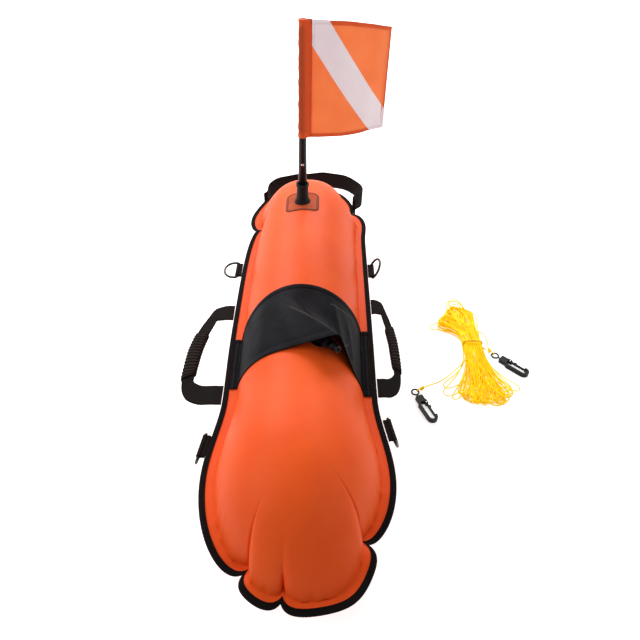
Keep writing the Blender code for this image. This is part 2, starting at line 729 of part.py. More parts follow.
def build_patch(material):
    """A thin sheet welded to the top panel, round at its corners."""
    half = PATCH_SIZE / 2
    sections = []
    for share in PATCH_ROW_SHARES:
        y = MAST_Y + share * half
        inset = PATCH_CORNER * (1 - math.sqrt(max(1 - max(abs(share) * half - half + PATCH_CORNER, 0.0)
                                                  ** 2 / PATCH_CORNER ** 2, 0.0)))
        reach = half - inset * PATCH_CORNER_SHARE
        folds = [ridge_x(y, -1), ridge_x(y, 0)]
        across = sorted(folds + [MAST_X + reach * place for place in PATCH_COLUMN_SHARES])
        lower = [Vector((x, y, top_surface(x, y) + CLEARANCE)) for x in across]
        upper = [point + Vector((0.0, 0.0, PATCH_THICKNESS)) for point in lower]
        sections.append(lower + upper[::-1])
    return add_piece("mast_patch", new_shape(sections), material)


build_patch(patch_film)

socket_shape = turned((
    (0.0, 0.0), (SOCKET_FOOT_RADIUS, 0.0), (SOCKET_FOOT_RADIUS * 0.96, SOCKET_FLOOR * 0.7),
    (SOCKET_RADIUS * 1.06, SOCKET_HEIGHT * 0.3), (SOCKET_RADIUS, SOCKET_HEIGHT - SOCKET_COLLAR_HEIGHT),
    (SOCKET_COLLAR_RADIUS, SOCKET_HEIGHT - SOCKET_COLLAR_HEIGHT * 0.85),
    (SOCKET_COLLAR_RADIUS, SOCKET_HEIGHT), (MAST_FOOT_RADIUS + CLEARANCE, SOCKET_HEIGHT),
    (MAST_FOOT_RADIUS + CLEARANCE, SOCKET_FLOOR), (0.0, SOCKET_FLOOR)), MAST_SIDES)
socket_shape.transform(mast_matrix)
for vert in socket_shape.verts:
    if (mast_matrix.inverted() @ vert.co).z < MERGE_DISTANCE:
        if len(vert.link_faces) == MAST_SIDES:
            vert.co.x = ridge_x(MAST_Y, 0)
        vert.co.z = top_surface(vert.co.x, vert.co.y) + PATCH_THICKNESS + 2 * CLEARANCE
add_piece("mast_socket", socket_shape, mast_rubber)


def mast_radius(height):
    """Outside radius of the tapered mast tube."""
    if height < FLAG_BOTTOM:
        return MAST_FOOT_RADIUS + (MAST_FLAG_RADIUS - MAST_FOOT_RADIUS) * height / FLAG_BOTTOM
    return MAST_FLAG_RADIUS + (MAST_TOP_RADIUS - MAST_FLAG_RADIUS) * (height - FLAG_BOTTOM) \
        / (FLAG_TOP - FLAG_BOTTOM)


MAST_START = SOCKET_FLOOR + CLEARANCE
MAST_END = FLAG_TOP - 0.004
PLUG_END = PIN_HEIGHT + 0.012
tube_heights = (MAST_START, FLAG_BOTTOM, MAST_END)
tube_profile = [(mast_radius(height), height) for height in tube_heights]
tube_profile += [(mast_radius(height) - MAST_WALL, height) for height in tube_heights[::-1]]
tube_shape = turned(tube_profile, MAST_SIDES, ring=True)
tube_shape.transform(mast_matrix)
mast_tube = add_piece("mast_tube", tube_shape, mast_plastic)

plug_gap = MAST_WALL + CLEARANCE
plug_shape = turned(((0.0, MAST_START), (mast_radius(MAST_START) - plug_gap, MAST_START),
                     (mast_radius(PLUG_END) - plug_gap, PLUG_END), (0.0, PLUG_END)), MAST_SIDES)
plug_shape.transform(mast_matrix)
mast_plug = add_piece("mast_foot_plug", plug_shape, mast_plastic)

pin_aim = mast_matrix @ Matrix.Translation((0.0, 0.0, PIN_HEIGHT)) @ Matrix.Rotation(math.pi / 2, 4, "X")
pin_reach = mast_radius(PIN_HEIGHT) + CLEARANCE
pin_shape = turned(((0.0, 0.5 * PIN_RADIUS - pin_reach), (PIN_RADIUS, 0.5 * PIN_RADIUS - pin_reach),
                    (PIN_RADIUS, pin_reach), (PIN_HEAD_RADIUS, pin_reach),
                    (PIN_HEAD_RADIUS * 0.8, pin_reach + PIN_HEAD_HEIGHT * 0.7),
                    (0.0, pin_reach + PIN_HEAD_HEIGHT)), CROSS_PIN_SIDES)
pin_shape.transform(pin_aim)
add_piece("mast_pin", pin_shape, bright_metal)
for number, drilled in enumerate((mast_tube, mast_plug)):
    bore_shape = rod(PIN_RADIUS + CLEARANCE, -2 * pin_reach, 2 * pin_reach, CROSS_PIN_SIDES)
    bore_shape.transform(pin_aim)
    cut(drilled, bore_shape, "pin_bore_%d" % number)

CAP_HEIGHT = 0.0025
cap_radius = mast_radius(MAST_END)
cap_shape = turned(((0.0, MAST_END - 0.008), (cap_radius - plug_gap, MAST_END - 0.008),
                    (cap_radius - plug_gap, MAST_END + CLEARANCE), (cap_radius, MAST_END + CLEARANCE),
                    (cap_radius * 0.8, MAST_END + CAP_HEIGHT * 0.8), (0.0, MAST_END + CAP_HEIGHT)),
                   MAST_SIDES)
cap_shape.transform(mast_matrix)
add_piece("mast_cap", cap_shape, mast_plastic)


# Flag: a sleeve that turns round the mast and a curled field in three pieces

SLEEVE_ROOM = 0.001
FLAG_FABRIC = 0.0009
SEAM_X = 0.0155
SEAM_HALF_THICKNESS = 0.0013
SLEEVE_ARC_POINTS = 9
SLEEVE_ARC_START = 48
FLY_X = 0.152
FLAG_CURL = 0.068
FLAG_DROOP = 0.027
FLAG_RISE = -0.008
FLAG_CELLS = 10
STRIPE_CELLS = 2

sleeve_fabric = new_material("dark orange flag fabric", (0.62, 0.10, 0.03), 0.7)
flag_fabric = new_material("orange flag fabric", (0.85, 0.16, 0.05), 0.65)
stripe_fabric = new_material("pale flag fabric", (0.82, 0.79, 0.86), 0.65)


def sleeve_loop(radius, reach, half, height):
    """One level of the sleeve: round the mast, drawn together at its seam."""
    arc = arc_points((0.0, 0.0), radius, SLEEVE_ARC_START, 360 - SLEEVE_ARC_START, SLEEVE_ARC_POINTS)
    outline = [(reach, half)] + arc + [(reach, -half)]
    return [mast_matrix @ Vector((x, y, height)) for x, y in outline]


outer_loops = []
inner_loops = []
for height in (FLAG_BOTTOM, FLAG_TOP + FLAG_FABRIC):
    radius = mast_radius(height) + SLEEVE_ROOM
    outer_loops.append(sleeve_loop(radius + FLAG_FABRIC, SEAM_X, SEAM_HALF_THICKNESS, height))
    inner_height = min(height, FLAG_TOP)
    inner_loops.append(sleeve_loop(radius, SEAM_X - 2 * FLAG_FABRIC, SEAM_HALF_THICKNESS - FLAG_FABRIC,
                                   inner_height))
add_piece("flag_sleeve", new_sleeve(outer_loops, inner_loops, lid=True), sleeve_fabric, origin=mast_base)


def flag_point(across, up, side):
    """Point of the field: across from the sleeve to the fly, up from the bottom hem, on one face."""
    width = FLY_X - SEAM_X - CLEARANCE
    normal = Vector((-2 * FLAG_CURL * across, width, 0.0)).normalized()
    rise = FLAG_RISE * across ** 2
    height = FLAG_TOP - FLAG_BOTTOM - (FLAG_DROOP + FLAG_RISE) * across ** 2
    point = Vector((SEAM_X + CLEARANCE + width * across, FLAG_CURL * across ** 2,
                    FLAG_BOTTOM + rise + height * up))
    return mast_matrix @ (point + normal * side * FLAG_FABRIC / 2)


def build_field(name, low, high, material):
    """A piece of the field between two slanting lines of cell corners."""
    shape = bmesh.new()
    corners = {}
    gap = CLEARANCE / (FLY_X - SEAM_X) / 2

    def corner(i, j, side):
        if (i, j, side) not in corners:
            shift = gap if i + j == low else (-gap if i + j == high < 2 * FLAG_CELLS else 0.0)
            shift *= 0.0 if low == 0 and i + j == 0 else 1.0
            corners[i, j, side] = shape.verts.new(
                flag_point(i / FLAG_CELLS + shift, j / FLAG_CELLS + shift, side))
        return corners[i, j, side]

    used = []
    for i in range(FLAG_CELLS):
        for j in range(FLAG_CELLS):
            if low <= i + j and i + j + 1 <= high:
                used.append(((i, j), (i + 1, j), (i, j + 1)))
            if low <= i + j + 1 and i + j + 2 <= high:
                used.append(((i + 1, j), (i + 1, j + 1), (i, j + 1)))
    edges = {(first, second) for tri in used for first, second in zip(tri, tri[1:] + tri[:1])}
    for side in (-1, 1):
        for tri in used:
            order = tri if side < 0 else tri[::-1]
            shape.faces.new([corner(i, j, side) for i, j in order])
    for first, second in edges:
        if (second, first) not in edges:
            shape.faces.new([corner(*second, -1), corner(*first, -1),
                             corner(*first, 1), corner(*second, 1)])
    bmesh.ops.recalc_face_normals(shape, faces=shape.faces)
    add_piece(name, shape, material, origin=mast_base)


build_field("flag_field_upper", FLAG_CELLS + STRIPE_CELLS, 2 * FLAG_CELLS, flag_fabric)
build_field("flag_stripe", FLAG_CELLS - STRIPE_CELLS, FLAG_CELLS + STRIPE_CELLS, stripe_fabric)
build_field("flag_field_lower", 0, FLAG_CELLS - STRIPE_CELLS, flag_fabric)

# Webbing tabs on the rim, each with a D-ring

TAB_GAP = 0.0004
TAB_LENGTH = 0.038
TAB_HALF_THICKNESS = 0.002
TAB_EYE = 0.009
TAB_EYE_RADIUS = 0.00405
TAB_HOLE_RADIUS = 0.00265
TAB_SIDES = 12
RING_WIRE = 0.0045
RING_HALF_WIDTH = 0.02275
RING_REACH = 0.026
RING_STRAIGHT_SHARE = 0.3
RING_BOW_POINTS = 11
RING_PLACES = (("left_far", -1, 0.665, 0), ("right_far", 1, 0.664, 58),
               ("left_near", -1, 0.242, -70), ("right_near", 1, 0.273, -70))

black_webbing = new_material("black webbing", (0.014, 0.013, 0.014), 0.85)
ring_metal = new_material("black coated ring", (0.02, 0.02, 0.022), 0.3, 0.6)


def rim_frame(side, y):
    """Origin on the binding's outer edge, with x along the rim, y outward and z up."""
    arc = side * np.interp(y, HALF_OUTLINE[:, 1], HALF_ARC)
    drawn, lift = pleat_shift(arc)
    out = rim_normal(arc)
    place = smooth_rim_point(arc) - out * drawn
    along = out.cross(Vector((0.0, 0.0, 1.0)))
    turn = Matrix((along, out, Vector((0.0, 0.0, 1.0)))).transposed().to_4x4()
    return Matrix.Translation(Vector((place.x, place.y, lift))) @ turn


BULGE_SAMPLES = 40
BULGE_REACH = 0.02


def rim_bulge(frame, low, high):
    """How far the rim's outer edge stands out in a frame, between two places along it."""
    back = frame.inverted()
    corners = [back @ flange_point(arc, 0.0, 0.0) for arc in ARCS]
    bulge = -math.inf
    for first, second in zip(corners, corners[1:] + corners[:1]):
        for step in range(BULGE_SAMPLES):
            place = first.lerp(second, step / BULGE_SAMPLES)
            if low < place.x < high and abs(place.y) < BULGE_REACH:
                bulge = max(bulge, place.y)
    return bulge


ring_frames = {}


def add_ring(label, side, y, angle):
    frame = rim_frame(side, y)
    bulge = rim_bulge(frame, -TAB_LENGTH / 2, TAB_LENGTH / 2)
    frame = frame @ Matrix.Translation((0.0, bulge, 0.0))
    outer = [(TAB_GAP, TAB_HALF_THICKNESS)]
    outer += arc_points((TAB_EYE, 0.0), TAB_EYE_RADIUS, 150, -150, TAB_SIDES - 2)
    outer += [(TAB_GAP, -TAB_HALF_THICKNESS)]
    inner = arc_points((TAB_EYE, 0.0), TAB_HOLE_RADIUS, 165, -165, TAB_SIDES)
    ends = (-TAB_LENGTH / 2, TAB_LENGTH / 2)
    shape = new_sleeve([[frame @ Vector((end, *point)) for point in outer] for end in ends],
                       [[frame @ Vector((end, *point)) for point in inner] for end in ends])
    add_piece("ring_tab_" + label, shape, black_webbing)
    ring_frames[label] = frame
    straight = RING_REACH * RING_STRAIGHT_SHARE
    bow = [(RING_HALF_WIDTH * math.cos(turn), straight + (RING_REACH - straight) * math.sin(turn))
           for turn in np.linspace(0.0, math.pi, RING_BOW_POINTS)]
    path = [(-RING_HALF_WIDTH * share, 0.0) for share in (0.93, 0.3, -0.3, -0.93)]
    path += [(RING_HALF_WIDTH, RING_WIRE / 2)] + bow + [(-RING_HALF_WIDTH, RING_WIRE / 2)]
    swing = Matrix.Translation((0.0, TAB_EYE, 0.0)) @ Matrix.Rotation(math.radians(angle), 4, "X")
    points = [frame @ swing @ Vector((x, reach, 0.0)) for x, reach in path]
    add_tube("d_ring_" + label, points, RING_WIRE, ring_metal, origin=frame @ Vector((0.0, TAB_EYE, 0.0)),
             closed=True, sides=2)


for ring_place in RING_PLACES:
    add_ring(*ring_place)

# Side handles of webbing, each with a ribbed grip, and the grab strap behind the tail

HANDLE_GAP = 0.0007
HANDLE_LEG_HALF_WIDTH = 0.022
HANDLE_LEG_INSIDE = 0.0007
LEG_THICKNESS = 0.0018
RUN_THICKNESS = 0.006
RAIL_SHARES = (
    (0.00, -0.10, 0.00, 0.10, 0.0), (0.30, -0.10, 0.28, 0.10, 0.0), (0.55, -0.095, 0.52, 0.105, 0.0),
    (0.80, -0.055, 0.68, 0.13, 0.3), (0.95, 0.03, 0.73, 0.16, 0.7), (1.00, 0.13, 0.73, 0.20, 1.0),
    (1.00, 0.25, 0.73, 0.27, 1.0), (0.99, 0.38, 0.71, 0.38, 1.0), (0.97, 0.50, 0.69, 0.49, 1.0),
    (0.92, 0.61, 0.64, 0.60, 1.0), (0.85, 0.72, 0.58, 0.70, 1.0), (0.75, 0.84, 0.51, 0.79, 0.8),
    (0.62, 0.96, 0.45, 0.86, 0.5), (0.50, 1.05, 0.41, 0.89, 0.2), (0.33, 1.09, 0.30, 0.90, 0.0),
    (0.16, 1.10, 0.15, 0.90, 0.0), (0.00, 1.10, 0.00, 0.90, 0.0))
GRIP_STATIONS = (5.3, 9.9)
GRIP_RIBS = 9
GRIP_WALL = 0.0030
GRIP_RIB = 0.0012
GRIP_ROOM = 0.0004
HANDLES = (("left", -1, 0.341, 0.537, 0.069), ("right", 1, 0.358, 0.556, 0.040))

grip_rubber = new_material("black grip rubber", (0.022, 0.017, 0.015), 0.6)


def rail_section(station, frame, reach, span, extra=0.0):
    """Corners of the webbing at a station: the outer and inner edge, each above and below."""
    index = min(int(station), len(RAIL_SHARES) - 2)
    share = station - index
    row = [first + (second - first) * share
           for first, second in zip(RAIL_SHARES[index], RAIL_SHARES[index + 1])]
    half = (LEG_THICKNESS + (RUN_THICKNESS - LEG_THICKNESS) * row[4]) / 2 + extra
    outer = Vector((row[1] * span, row[0] * reach - HANDLE_LEG_INSIDE, 0.0))
    inner = Vector((row[3] * span, row[2] * reach - HANDLE_LEG_INSIDE, 0.0))
    widen = (outer - inner).normalized() * extra
    lift = Vector((0.0, 0.0, half))
    corners = (outer + widen - lift, outer + widen + lift, inner - widen + lift, inner - widen - lift)
    return [frame @ corner for corner in corners]


HANDLE_SEATINGS = 3


def handle_frame(side, near, far):
    """Frame at the near leg: x towards the far leg, y outward, z up."""
    along = (far - near).normalized()
    out = Vector((side * along.y, -side * along.x, 0.0))
    axes = Matrix((along, out, Vector((0.0, 0.0, 1.0)))).transposed().to_4x4()
    return Matrix.Translation(near) @ axes


def add_handle(label, side, near_y, far_y, reach):
    near = rim_frame(side, near_y).translation
    far = rim_frame(side, far_y).translation
    for turn in range(HANDLE_SEATINGS):
        frame = handle_frame(side, near, far)
        span = (far - near).length
        room = HANDLE_LEG_INSIDE + HANDLE_GAP
        half = HANDLE_LEG_HALF_WIDTH
        shift = frame.to_3x3() @ Vector((0.0, 1.0, 0.0))
        near = near + shift * (rim_bulge(frame, -half, half) + room)
        far = far + shift * (rim_bulge(frame, span - half, span + half) + room)
    frame = handle_frame(side, near, far)
    span = (far - near).length
    sections = [rail_section(station, frame, reach, span) for station in range(len(RAIL_SHARES))]
    add_piece(label + "_handle", new_shape(sections), black_webbing, origin=near)
    first, last = GRIP_STATIONS
    outer_loops = []
    inner_loops = []
    for step in range(2 * GRIP_RIBS + 1):
        station = first + (last - first) * step / (2 * GRIP_RIBS)
        wall = GRIP_WALL - (GRIP_RIB if step % 2 else 0.0)
        hole = rail_section(station, frame, reach, span, GRIP_ROOM)
        skin = rail_section(station, frame, reach, span, GRIP_ROOM + wall)
        outer = []
        inner = []
        for corner in range(4):
            for share in (0.2, 0.8):
                outer.append(skin[corner].lerp(skin[(corner + 1) % 4], share))
                inner.append(hole[corner].lerp(hole[(corner + 1) % 4], 0.0 if share < 0.5 else 0.97))
        outer_loops.append(outer)
        inner_loops.append(inner)
    add_piece(label + "_grip", new_sleeve(outer_loops, inner_loops), grip_rubber, origin=near)
    return near, far


handle_ends = {entry[0]: add_handle(*entry) for entry in HANDLES}

STRAP_WIDTH = 0.040
STRAP_THICKNESS = 0.002
STRAP_GAP = 0.0009
STRAP_SEAT = 0.007
STRAP_RIGHT_Y = 0.905
STRAP_LEFT_Y = 0.931
STRAP_MIDDLE = ((0.1245, 0.938), (0.121, 0.968), (0.103, 0.996), (0.072, 1.014), (0.035, 1.022),
                (0.0, 1.020), (-0.035, 1.011), (-0.066, 0.996), (-0.090, 0.970))


def strap_seat(side, y):
    """Two places beside the binding where an end of the strap is sewn on, the outer one first."""
    frame = rim_frame(side, y)
    out = rim_bulge(frame, -2 * STRAP_SEAT, 2 * STRAP_SEAT) + STRAP_THICKNESS / 2 + STRAP_GAP
    ends = [frame @ Vector((side * way, out, 0.0)) for way in (STRAP_SEAT, -STRAP_SEAT)]
    return [(end.x, end.y) for end in ends]


STRAP_RIGHT, STRAP_RIGHT_BEND = strap_seat(1, STRAP_RIGHT_Y)
STRAP_LEFT, STRAP_LEFT_BEND = strap_seat(-1, STRAP_LEFT_Y)
STRAP_ROUTE = (STRAP_RIGHT, STRAP_RIGHT_BEND, *STRAP_MIDDLE, STRAP_LEFT_BEND, STRAP_LEFT)


def build_strap(material):
    """Webbing on edge that runs round behind the tail from rim to rim."""
    sections = []
    for index, (x, y) in enumerate(STRAP_ROUTE):
        before = Vector(STRAP_ROUTE[max(index - 1, 0)])
        after = Vector(STRAP_ROUTE[min(index + 1, len(STRAP_ROUTE) - 1)])
        along = (after - before).normalized()
        out = Vector((along.y, -along.x, 0.0)) * STRAP_THICKNESS / 2
        centre = Vector((x, y, 0.0))
        lift = Vector((0.0, 0.0, STRAP_WIDTH / 2))
        sections.append([centre - out - lift, centre + out - lift,
                         centre + out + lift, centre - out + lift])
    add_piece("grab_strap", new_shape(sections), material, origin=(*STRAP_RIGHT, 0.0))


build_strap(black_webbing)


# Snap hooks: an eye that swivels, a body, and a gate on its pin. x runs from the eye to the tip.

EYE_RADIUS = 0.0065
EYE_WIRE = 0.0015
EYE_SIDES = 16
EYE_WIRE_SIDES = 8
STEM_SIDES = 12
PIN_SIDES = 10
STEM_RADIUS = 0.0015
STEM_HEAD_RADIUS = 0.0026
STEM_HEAD_START = 0.0270
STEM_END = 0.0295
BARREL_START = 0.0115
BARREL_END = 0.0265
BARREL_HALF = 0.007
BARREL_CHAMFER = 0.0015
HOOK_HALF_THICKNESS = 0.004
HOOK_BACK_OUTER = -0.0105
HOOK_BACK_INNER = -0.0060
HOOK_NOSE_OUTER = 0.0090
HOOK_NOSE_INNER = 0.0045
HOOK_TIP_X = 0.0620
HOOK_NOSE_X = 0.0600
HOOK_TIP_POINTS = 7
EAR_END = 0.0340
EAR_INNER = 0.0031
EAR_OUTER = 0.0082
GATE_PIVOT = (0.0300, 0.0054, 0.0)
GATE_AXIS = (0.0, 0.0, -1.0)
GATE_OPEN_DEGREES = 17
GATE_ROOT_RADIUS = 0.0021
GATE_LOW = 0.0038
GATE_HIGH = 0.0071
GATE_TIP_X = 0.0595
GATE_NUB = 0.0095
GATE_HALF_THICKNESS = 0.0020
GATE_PIN_RADIUS = 0.0012
HOOK_PLACES = {1: ((0.205, 0.433), (0.233, 0.367)), 2: ((0.3685, 0.5262), (0.4207, 0.4767))}
HOOK_LIFT = 0.0003

hook_plastic = new_material("black hook plastic", (0.015, 0.015, 0.017), 0.3)
line_cord = new_material("yellow braided cord", (0.80, 0.58, 0.03), 0.7)
hook_frames = {}


def hook_outline():
    """The hook's body seen flat: the barrel, the back, the round tip, the nose and the ears."""
    middle = (HOOK_BACK_OUTER + HOOK_NOSE_OUTER) / 2
    outer = arc_points((HOOK_TIP_X, middle), (HOOK_NOSE_OUTER - HOOK_BACK_OUTER) / 2, -90, 90,
                       HOOK_TIP_POINTS)
    middle = (HOOK_BACK_INNER + HOOK_NOSE_INNER) / 2
    inner = arc_points((HOOK_TIP_X, middle), (HOOK_NOSE_INNER - HOOK_BACK_INNER) / 2, 90, -90,
                       HOOK_TIP_POINTS)
    points = [(BARREL_START, BARREL_CHAMFER - BARREL_HALF), (BARREL_START + BARREL_CHAMFER, -BARREL_HALF),
              (BARREL_END - BARREL_CHAMFER, -BARREL_HALF), (GATE_PIVOT[0], HOOK_BACK_OUTER)]
    points += outer + [(HOOK_NOSE_X, HOOK_NOSE_OUTER), (HOOK_NOSE_X, HOOK_NOSE_INNER)] + inner
    points += [(GATE_PIVOT[0] + BARREL_CHAMFER, HOOK_BACK_INNER), (BARREL_END, -EAR_INNER),
               (BARREL_END, EAR_INNER), (EAR_END, EAR_INNER), (EAR_END, EAR_OUTER - BARREL_CHAMFER),
               (EAR_END - BARREL_CHAMFER, EAR_OUTER), (BARREL_END - BARREL_CHAMFER, EAR_OUTER),
               (BARREL_END - 2 * BARREL_CHAMFER, BARREL_HALF),
               (BARREL_START + BARREL_CHAMFER, BARREL_HALF),
               (BARREL_START, BARREL_HALF - BARREL_CHAMFER)]
    return points


def gate_outline():
    root = arc_points(GATE_PIVOT[:2], GATE_ROOT_RADIUS, 110, 250, 5)
    return root + [(EAR_END, GATE_LOW), (GATE_TIP_X, GATE_LOW), (GATE_TIP_X, GATE_HIGH),
                   (EAR_END + 0.4 * (GATE_TIP_X - EAR_END), GATE_HIGH),
                   (EAR_END + 0.28 * (GATE_TIP_X - EAR_END), GATE_NUB),
                   (EAR_END + 0.16 * (GATE_TIP_X - EAR_END), GATE_NUB),
                   (EAR_END + 0.08 * (GATE_TIP_X - EAR_END), GATE_HIGH)]


def add_hook(number, ring_centre, tip):
    along = (Vector(tip) - Vector(ring_centre)).normalized()
    turn = Matrix(((along.x, -along.y, 0.0), (along.y, along.x, 0.0), (0.0, 0.0, 1.0))).to_4x4()
    rest = Vector((*ring_centre, FLOOR_Z + HOOK_HALF_THICKNESS + HOOK_LIFT))
    frame = Matrix.Translation(rest) @ turn
    hook_frames[number] = frame
    name = "hook_%d_" % number
    to_x = Matrix.Rotation(math.pi / 2, 4, "Y")

    turns = [2 * math.pi * step / EYE_WIRE_SIDES for step in range(EYE_WIRE_SIDES)]
    ring = turned([(EYE_RADIUS + EYE_WIRE * math.cos(turn), EYE_WIRE * math.sin(turn)) for turn in turns],
                  EYE_SIDES, ring=True)
    ring.transform(frame)
    eye = add_piece(name + "eye", ring, hook_plastic, origin=rest)
    stem = turned(((0.0, EYE_RADIUS), (STEM_RADIUS, EYE_RADIUS), (STEM_RADIUS, STEM_HEAD_START),
                   (STEM_HEAD_RADIUS, STEM_HEAD_START), (STEM_HEAD_RADIUS, STEM_END), (0.0, STEM_END)),
                  STEM_SIDES)
    stem.transform(frame @ to_x)
    cut(eye, stem, name + "stem", "UNION")

    shape = extruded(hook_outline(), -HOOK_HALF_THICKNESS, HOOK_HALF_THICKNESS)
    shape.transform(frame)
    body = add_piece(name + "body", shape, hook_plastic, origin=rest)
    bore = rod(STEM_RADIUS + CLEARANCE, BARREL_START - STEM_RADIUS, BARREL_END + STEM_RADIUS, STEM_SIDES)
    bore.transform(frame @ to_x)
    cut(body, bore, name + "bore")
    slot_high = GATE_HALF_THICKNESS + CLEARANCE
    slot = extruded(((BARREL_END + CLEARANCE, EAR_INNER - BARREL_CHAMFER),
                     (EAR_END + BARREL_CHAMFER, EAR_INNER - BARREL_CHAMFER),
                     (EAR_END + BARREL_CHAMFER, EAR_OUTER + BARREL_CHAMFER),
                     (BARREL_END + CLEARANCE, EAR_OUTER + BARREL_CHAMFER)), -slot_high, slot_high)
    slot.transform(frame)
    cut(body, slot, name + "slot")

    shape = extruded(gate_outline(), -GATE_HALF_THICKNESS, GATE_HALF_THICKNESS)
    shape.transform(frame)
    pivot = frame @ Matrix.Translation(GATE_PIVOT)
    gate = add_piece(name + "gate", shape, hook_plastic, origin=pivot.translation)
    reach = HOOK_HALF_THICKNESS
    for holder, label in ((body, "ear_hole"), (gate, "gate_hole")):
        hole = rod(GATE_PIN_RADIUS + CLEARANCE, -2 * reach, 2 * reach, PIN_SIDES)
        hole.transform(pivot)
        cut(holder, hole, name + label)
    pin = rod(GATE_PIN_RADIUS, -reach, reach, PIN_SIDES)
    pin.transform(pivot)
    add_piece(name + "gate_pin", pin, bright_metal, origin=pivot.translation)


for number, place in HOOK_PLACES.items():
    add_hook(number, *place)

# Line: a hank of loops tied at its waist, with a lead to a knot at each hook's eye

CORD = 0.002
KNOT_LENGTH = 0.008
KNOT_WIDTH = 0.006
KNOT_AIMS = {1: (0.85, 0.53), 2: (-0.48, 0.876)}
LEAD_AIMS = {1: (0.75, 0.66), 2: (-0.45, 0.89)}
HANK_X = 0.329
HANK_Y = 0.553
HANK_LAYERS = 4
TURNS_PER_LAYER = 4.125
POINTS_PER_TURN = 24
HANK_START_DEGREES = 200
UPPER_LENGTH = 0.120
LOWER_LENGTH = 0.153
UPPER_FAN = 0.030
LOWER_FAN = 0.041
WAIST_RADIUS = 0.0030
LOOP_STEP = 0.0042
LAYER_STEP = 0.0025
HANK_BEND = 0.018
WAIST_LIFT = 0.0032
WAIST_LIFT_REACH = 0.045
CLIMB_TURNS = 0.5
TIE_ROOM = 0.0022
TIE_POINTS = 24
TIE_SQUARENESS_SHARE = 0.25


def hank_point(turns):
    """Centre of the cord a number of turns into the hank."""
    angle = math.radians(HANK_START_DEGREES) - 2 * math.pi * turns
    layer = min(int(turns / TURNS_PER_LAYER), HANK_LAYERS - 1)
    way = turns - layer * TURNS_PER_LAYER
    inward = layer % 2 == 0
    rank = TURNS_PER_LAYER - way if inward else way
    up = math.sin(angle)
    side = math.cos(angle)
    length = (UPPER_LENGTH if up > 0 else LOWER_LENGTH) - LOOP_STEP * (TURNS_PER_LAYER - rank)
    fan = (UPPER_FAN if up > 0 else LOWER_FAN) * abs(up) ** 1.6 * abs(side) ** 0.5
    across = (WAIST_RADIUS + LOOP_STEP * rank) * side * (1 + 0.6 * up * up) + math.copysign(fan, side)
    along = length * up
    share = along / LOWER_LENGTH
    climbed = sum(smooth_step((turns - TURNS_PER_LAYER * turning) / CLIMB_TURNS + 0.5)
                  for turning in range(1, HANK_LAYERS))
    height = FLOOR_Z + CORD / 2 + CLEARANCE + LAYER_STEP * climbed
    height += WAIST_LIFT * math.exp(-(along / WAIST_LIFT_REACH) ** 2)
    return Vector((HANK_X + across - HANK_BEND * share ** 2, HANK_Y + along, height))


hank_turns = HANK_LAYERS * TURNS_PER_LAYER
hank_count = round(hank_turns * POINTS_PER_TURN)
hank_points = [hank_point(hank_turns * step / hank_count) for step in range(hank_count + 1)]
add_tube("line_hank", hank_points, CORD, line_cord)


def least_gap(points, diameter):
    """The least distance between a tube and itself, passing over its own neighbouring stretches."""
    dense = []
    for here, there in zip(points, points[1:]):
        count = max(int((there - here).length / (diameter / 2)), 1)
        dense += [here.lerp(there, step / count) for step in range(count)]
    place = np.array(dense)
    way = np.concatenate(([0.0], np.cumsum(np.linalg.norm(np.diff(place, axis=0), axis=1))))
    least = math.inf
    for index in range(len(place)):
        far = way > way[index] + 6 * diameter
        if far.any():
            least = min(least, np.linalg.norm(place[far] - place[index], axis=1).min())
    return least - diameter


print("hank: least gap to itself %.2f mm over %.1f m"
      % (1000 * least_gap(hank_points, CORD),
         sum((there - here).length for here, there in zip(hank_points, hank_points[1:]))))

tie_half = WAIST_RADIUS + LOOP_STEP * TURNS_PER_LAYER + CORD + TIE_ROOM
tie_low = FLOOR_Z + CORD / 2 + CLEARANCE
tie_high = FLOOR_Z + WAIST_LIFT + LAYER_STEP * (HANK_LAYERS - 1) + 2 * CORD + TIE_ROOM
tie_points = []
for step in range(TIE_POINTS):
    turn = 2 * math.pi * (step + 0.5) / TIE_POINTS
    across = math.copysign(abs(math.cos(turn)) ** TIE_SQUARENESS_SHARE, math.cos(turn))
    up = math.copysign(abs(math.sin(turn)) ** TIE_SQUARENESS_SHARE, math.sin(turn))
    tie_points.append(Vector((HANK_X + tie_half * across, HANK_Y,
                              (tie_low + tie_high) / 2 + (tie_high - tie_low) / 2 * up)))
add_tube("hank_tie", tie_points, CORD, line_cord, closed=True)

knot_ends = {}
for number, aim in KNOT_AIMS.items():
    out = Vector((*aim, 0.0)).normalized()
    eye_centre = hook_frames[number].translation
    centre = eye_centre + out * (EYE_RADIUS + EYE_WIRE + CLEARANCE + KNOT_LENGTH / 2)
    lead_out = Vector((*LEAD_AIMS[number], 0.0)).normalized()
    knot = bmesh.new()
    bmesh.ops.create_uvsphere(knot, u_segments=12, v_segments=7, radius=0.5)
    knot.transform(Matrix.Translation(centre) @ lead_out.to_track_quat("Z", "Y").to_matrix().to_4x4()
                   @ Matrix.Diagonal((KNOT_WIDTH, KNOT_WIDTH, KNOT_LENGTH, 1.0)))
    add_piece("knot_%d" % number, knot, line_cord, origin=centre)
    knot_ends[number] = (centre + lead_out * (KNOT_LENGTH / 2 + CLEARANCE), lead_out)


def add_lead(number, hank_end, inward, route):
    """A free stretch of cord from a knot to an end of the hank, straight where it meets them."""
    start, aim = knot_ends[number]
    stop = hank_end - inward * CLEARANCE
    low = FLOOR_Z + CORD / 2 + CLEARANCE
    middle = [Vector((x, y, low + rise)) for x, y, rise in route]
    points = smooth_route([start + aim * CORD] + middle + [stop - inward * CORD], 3 * CORD)
    add_tube("line_lead_%d" % number, [start] + points + [stop], CORD, line_cord)


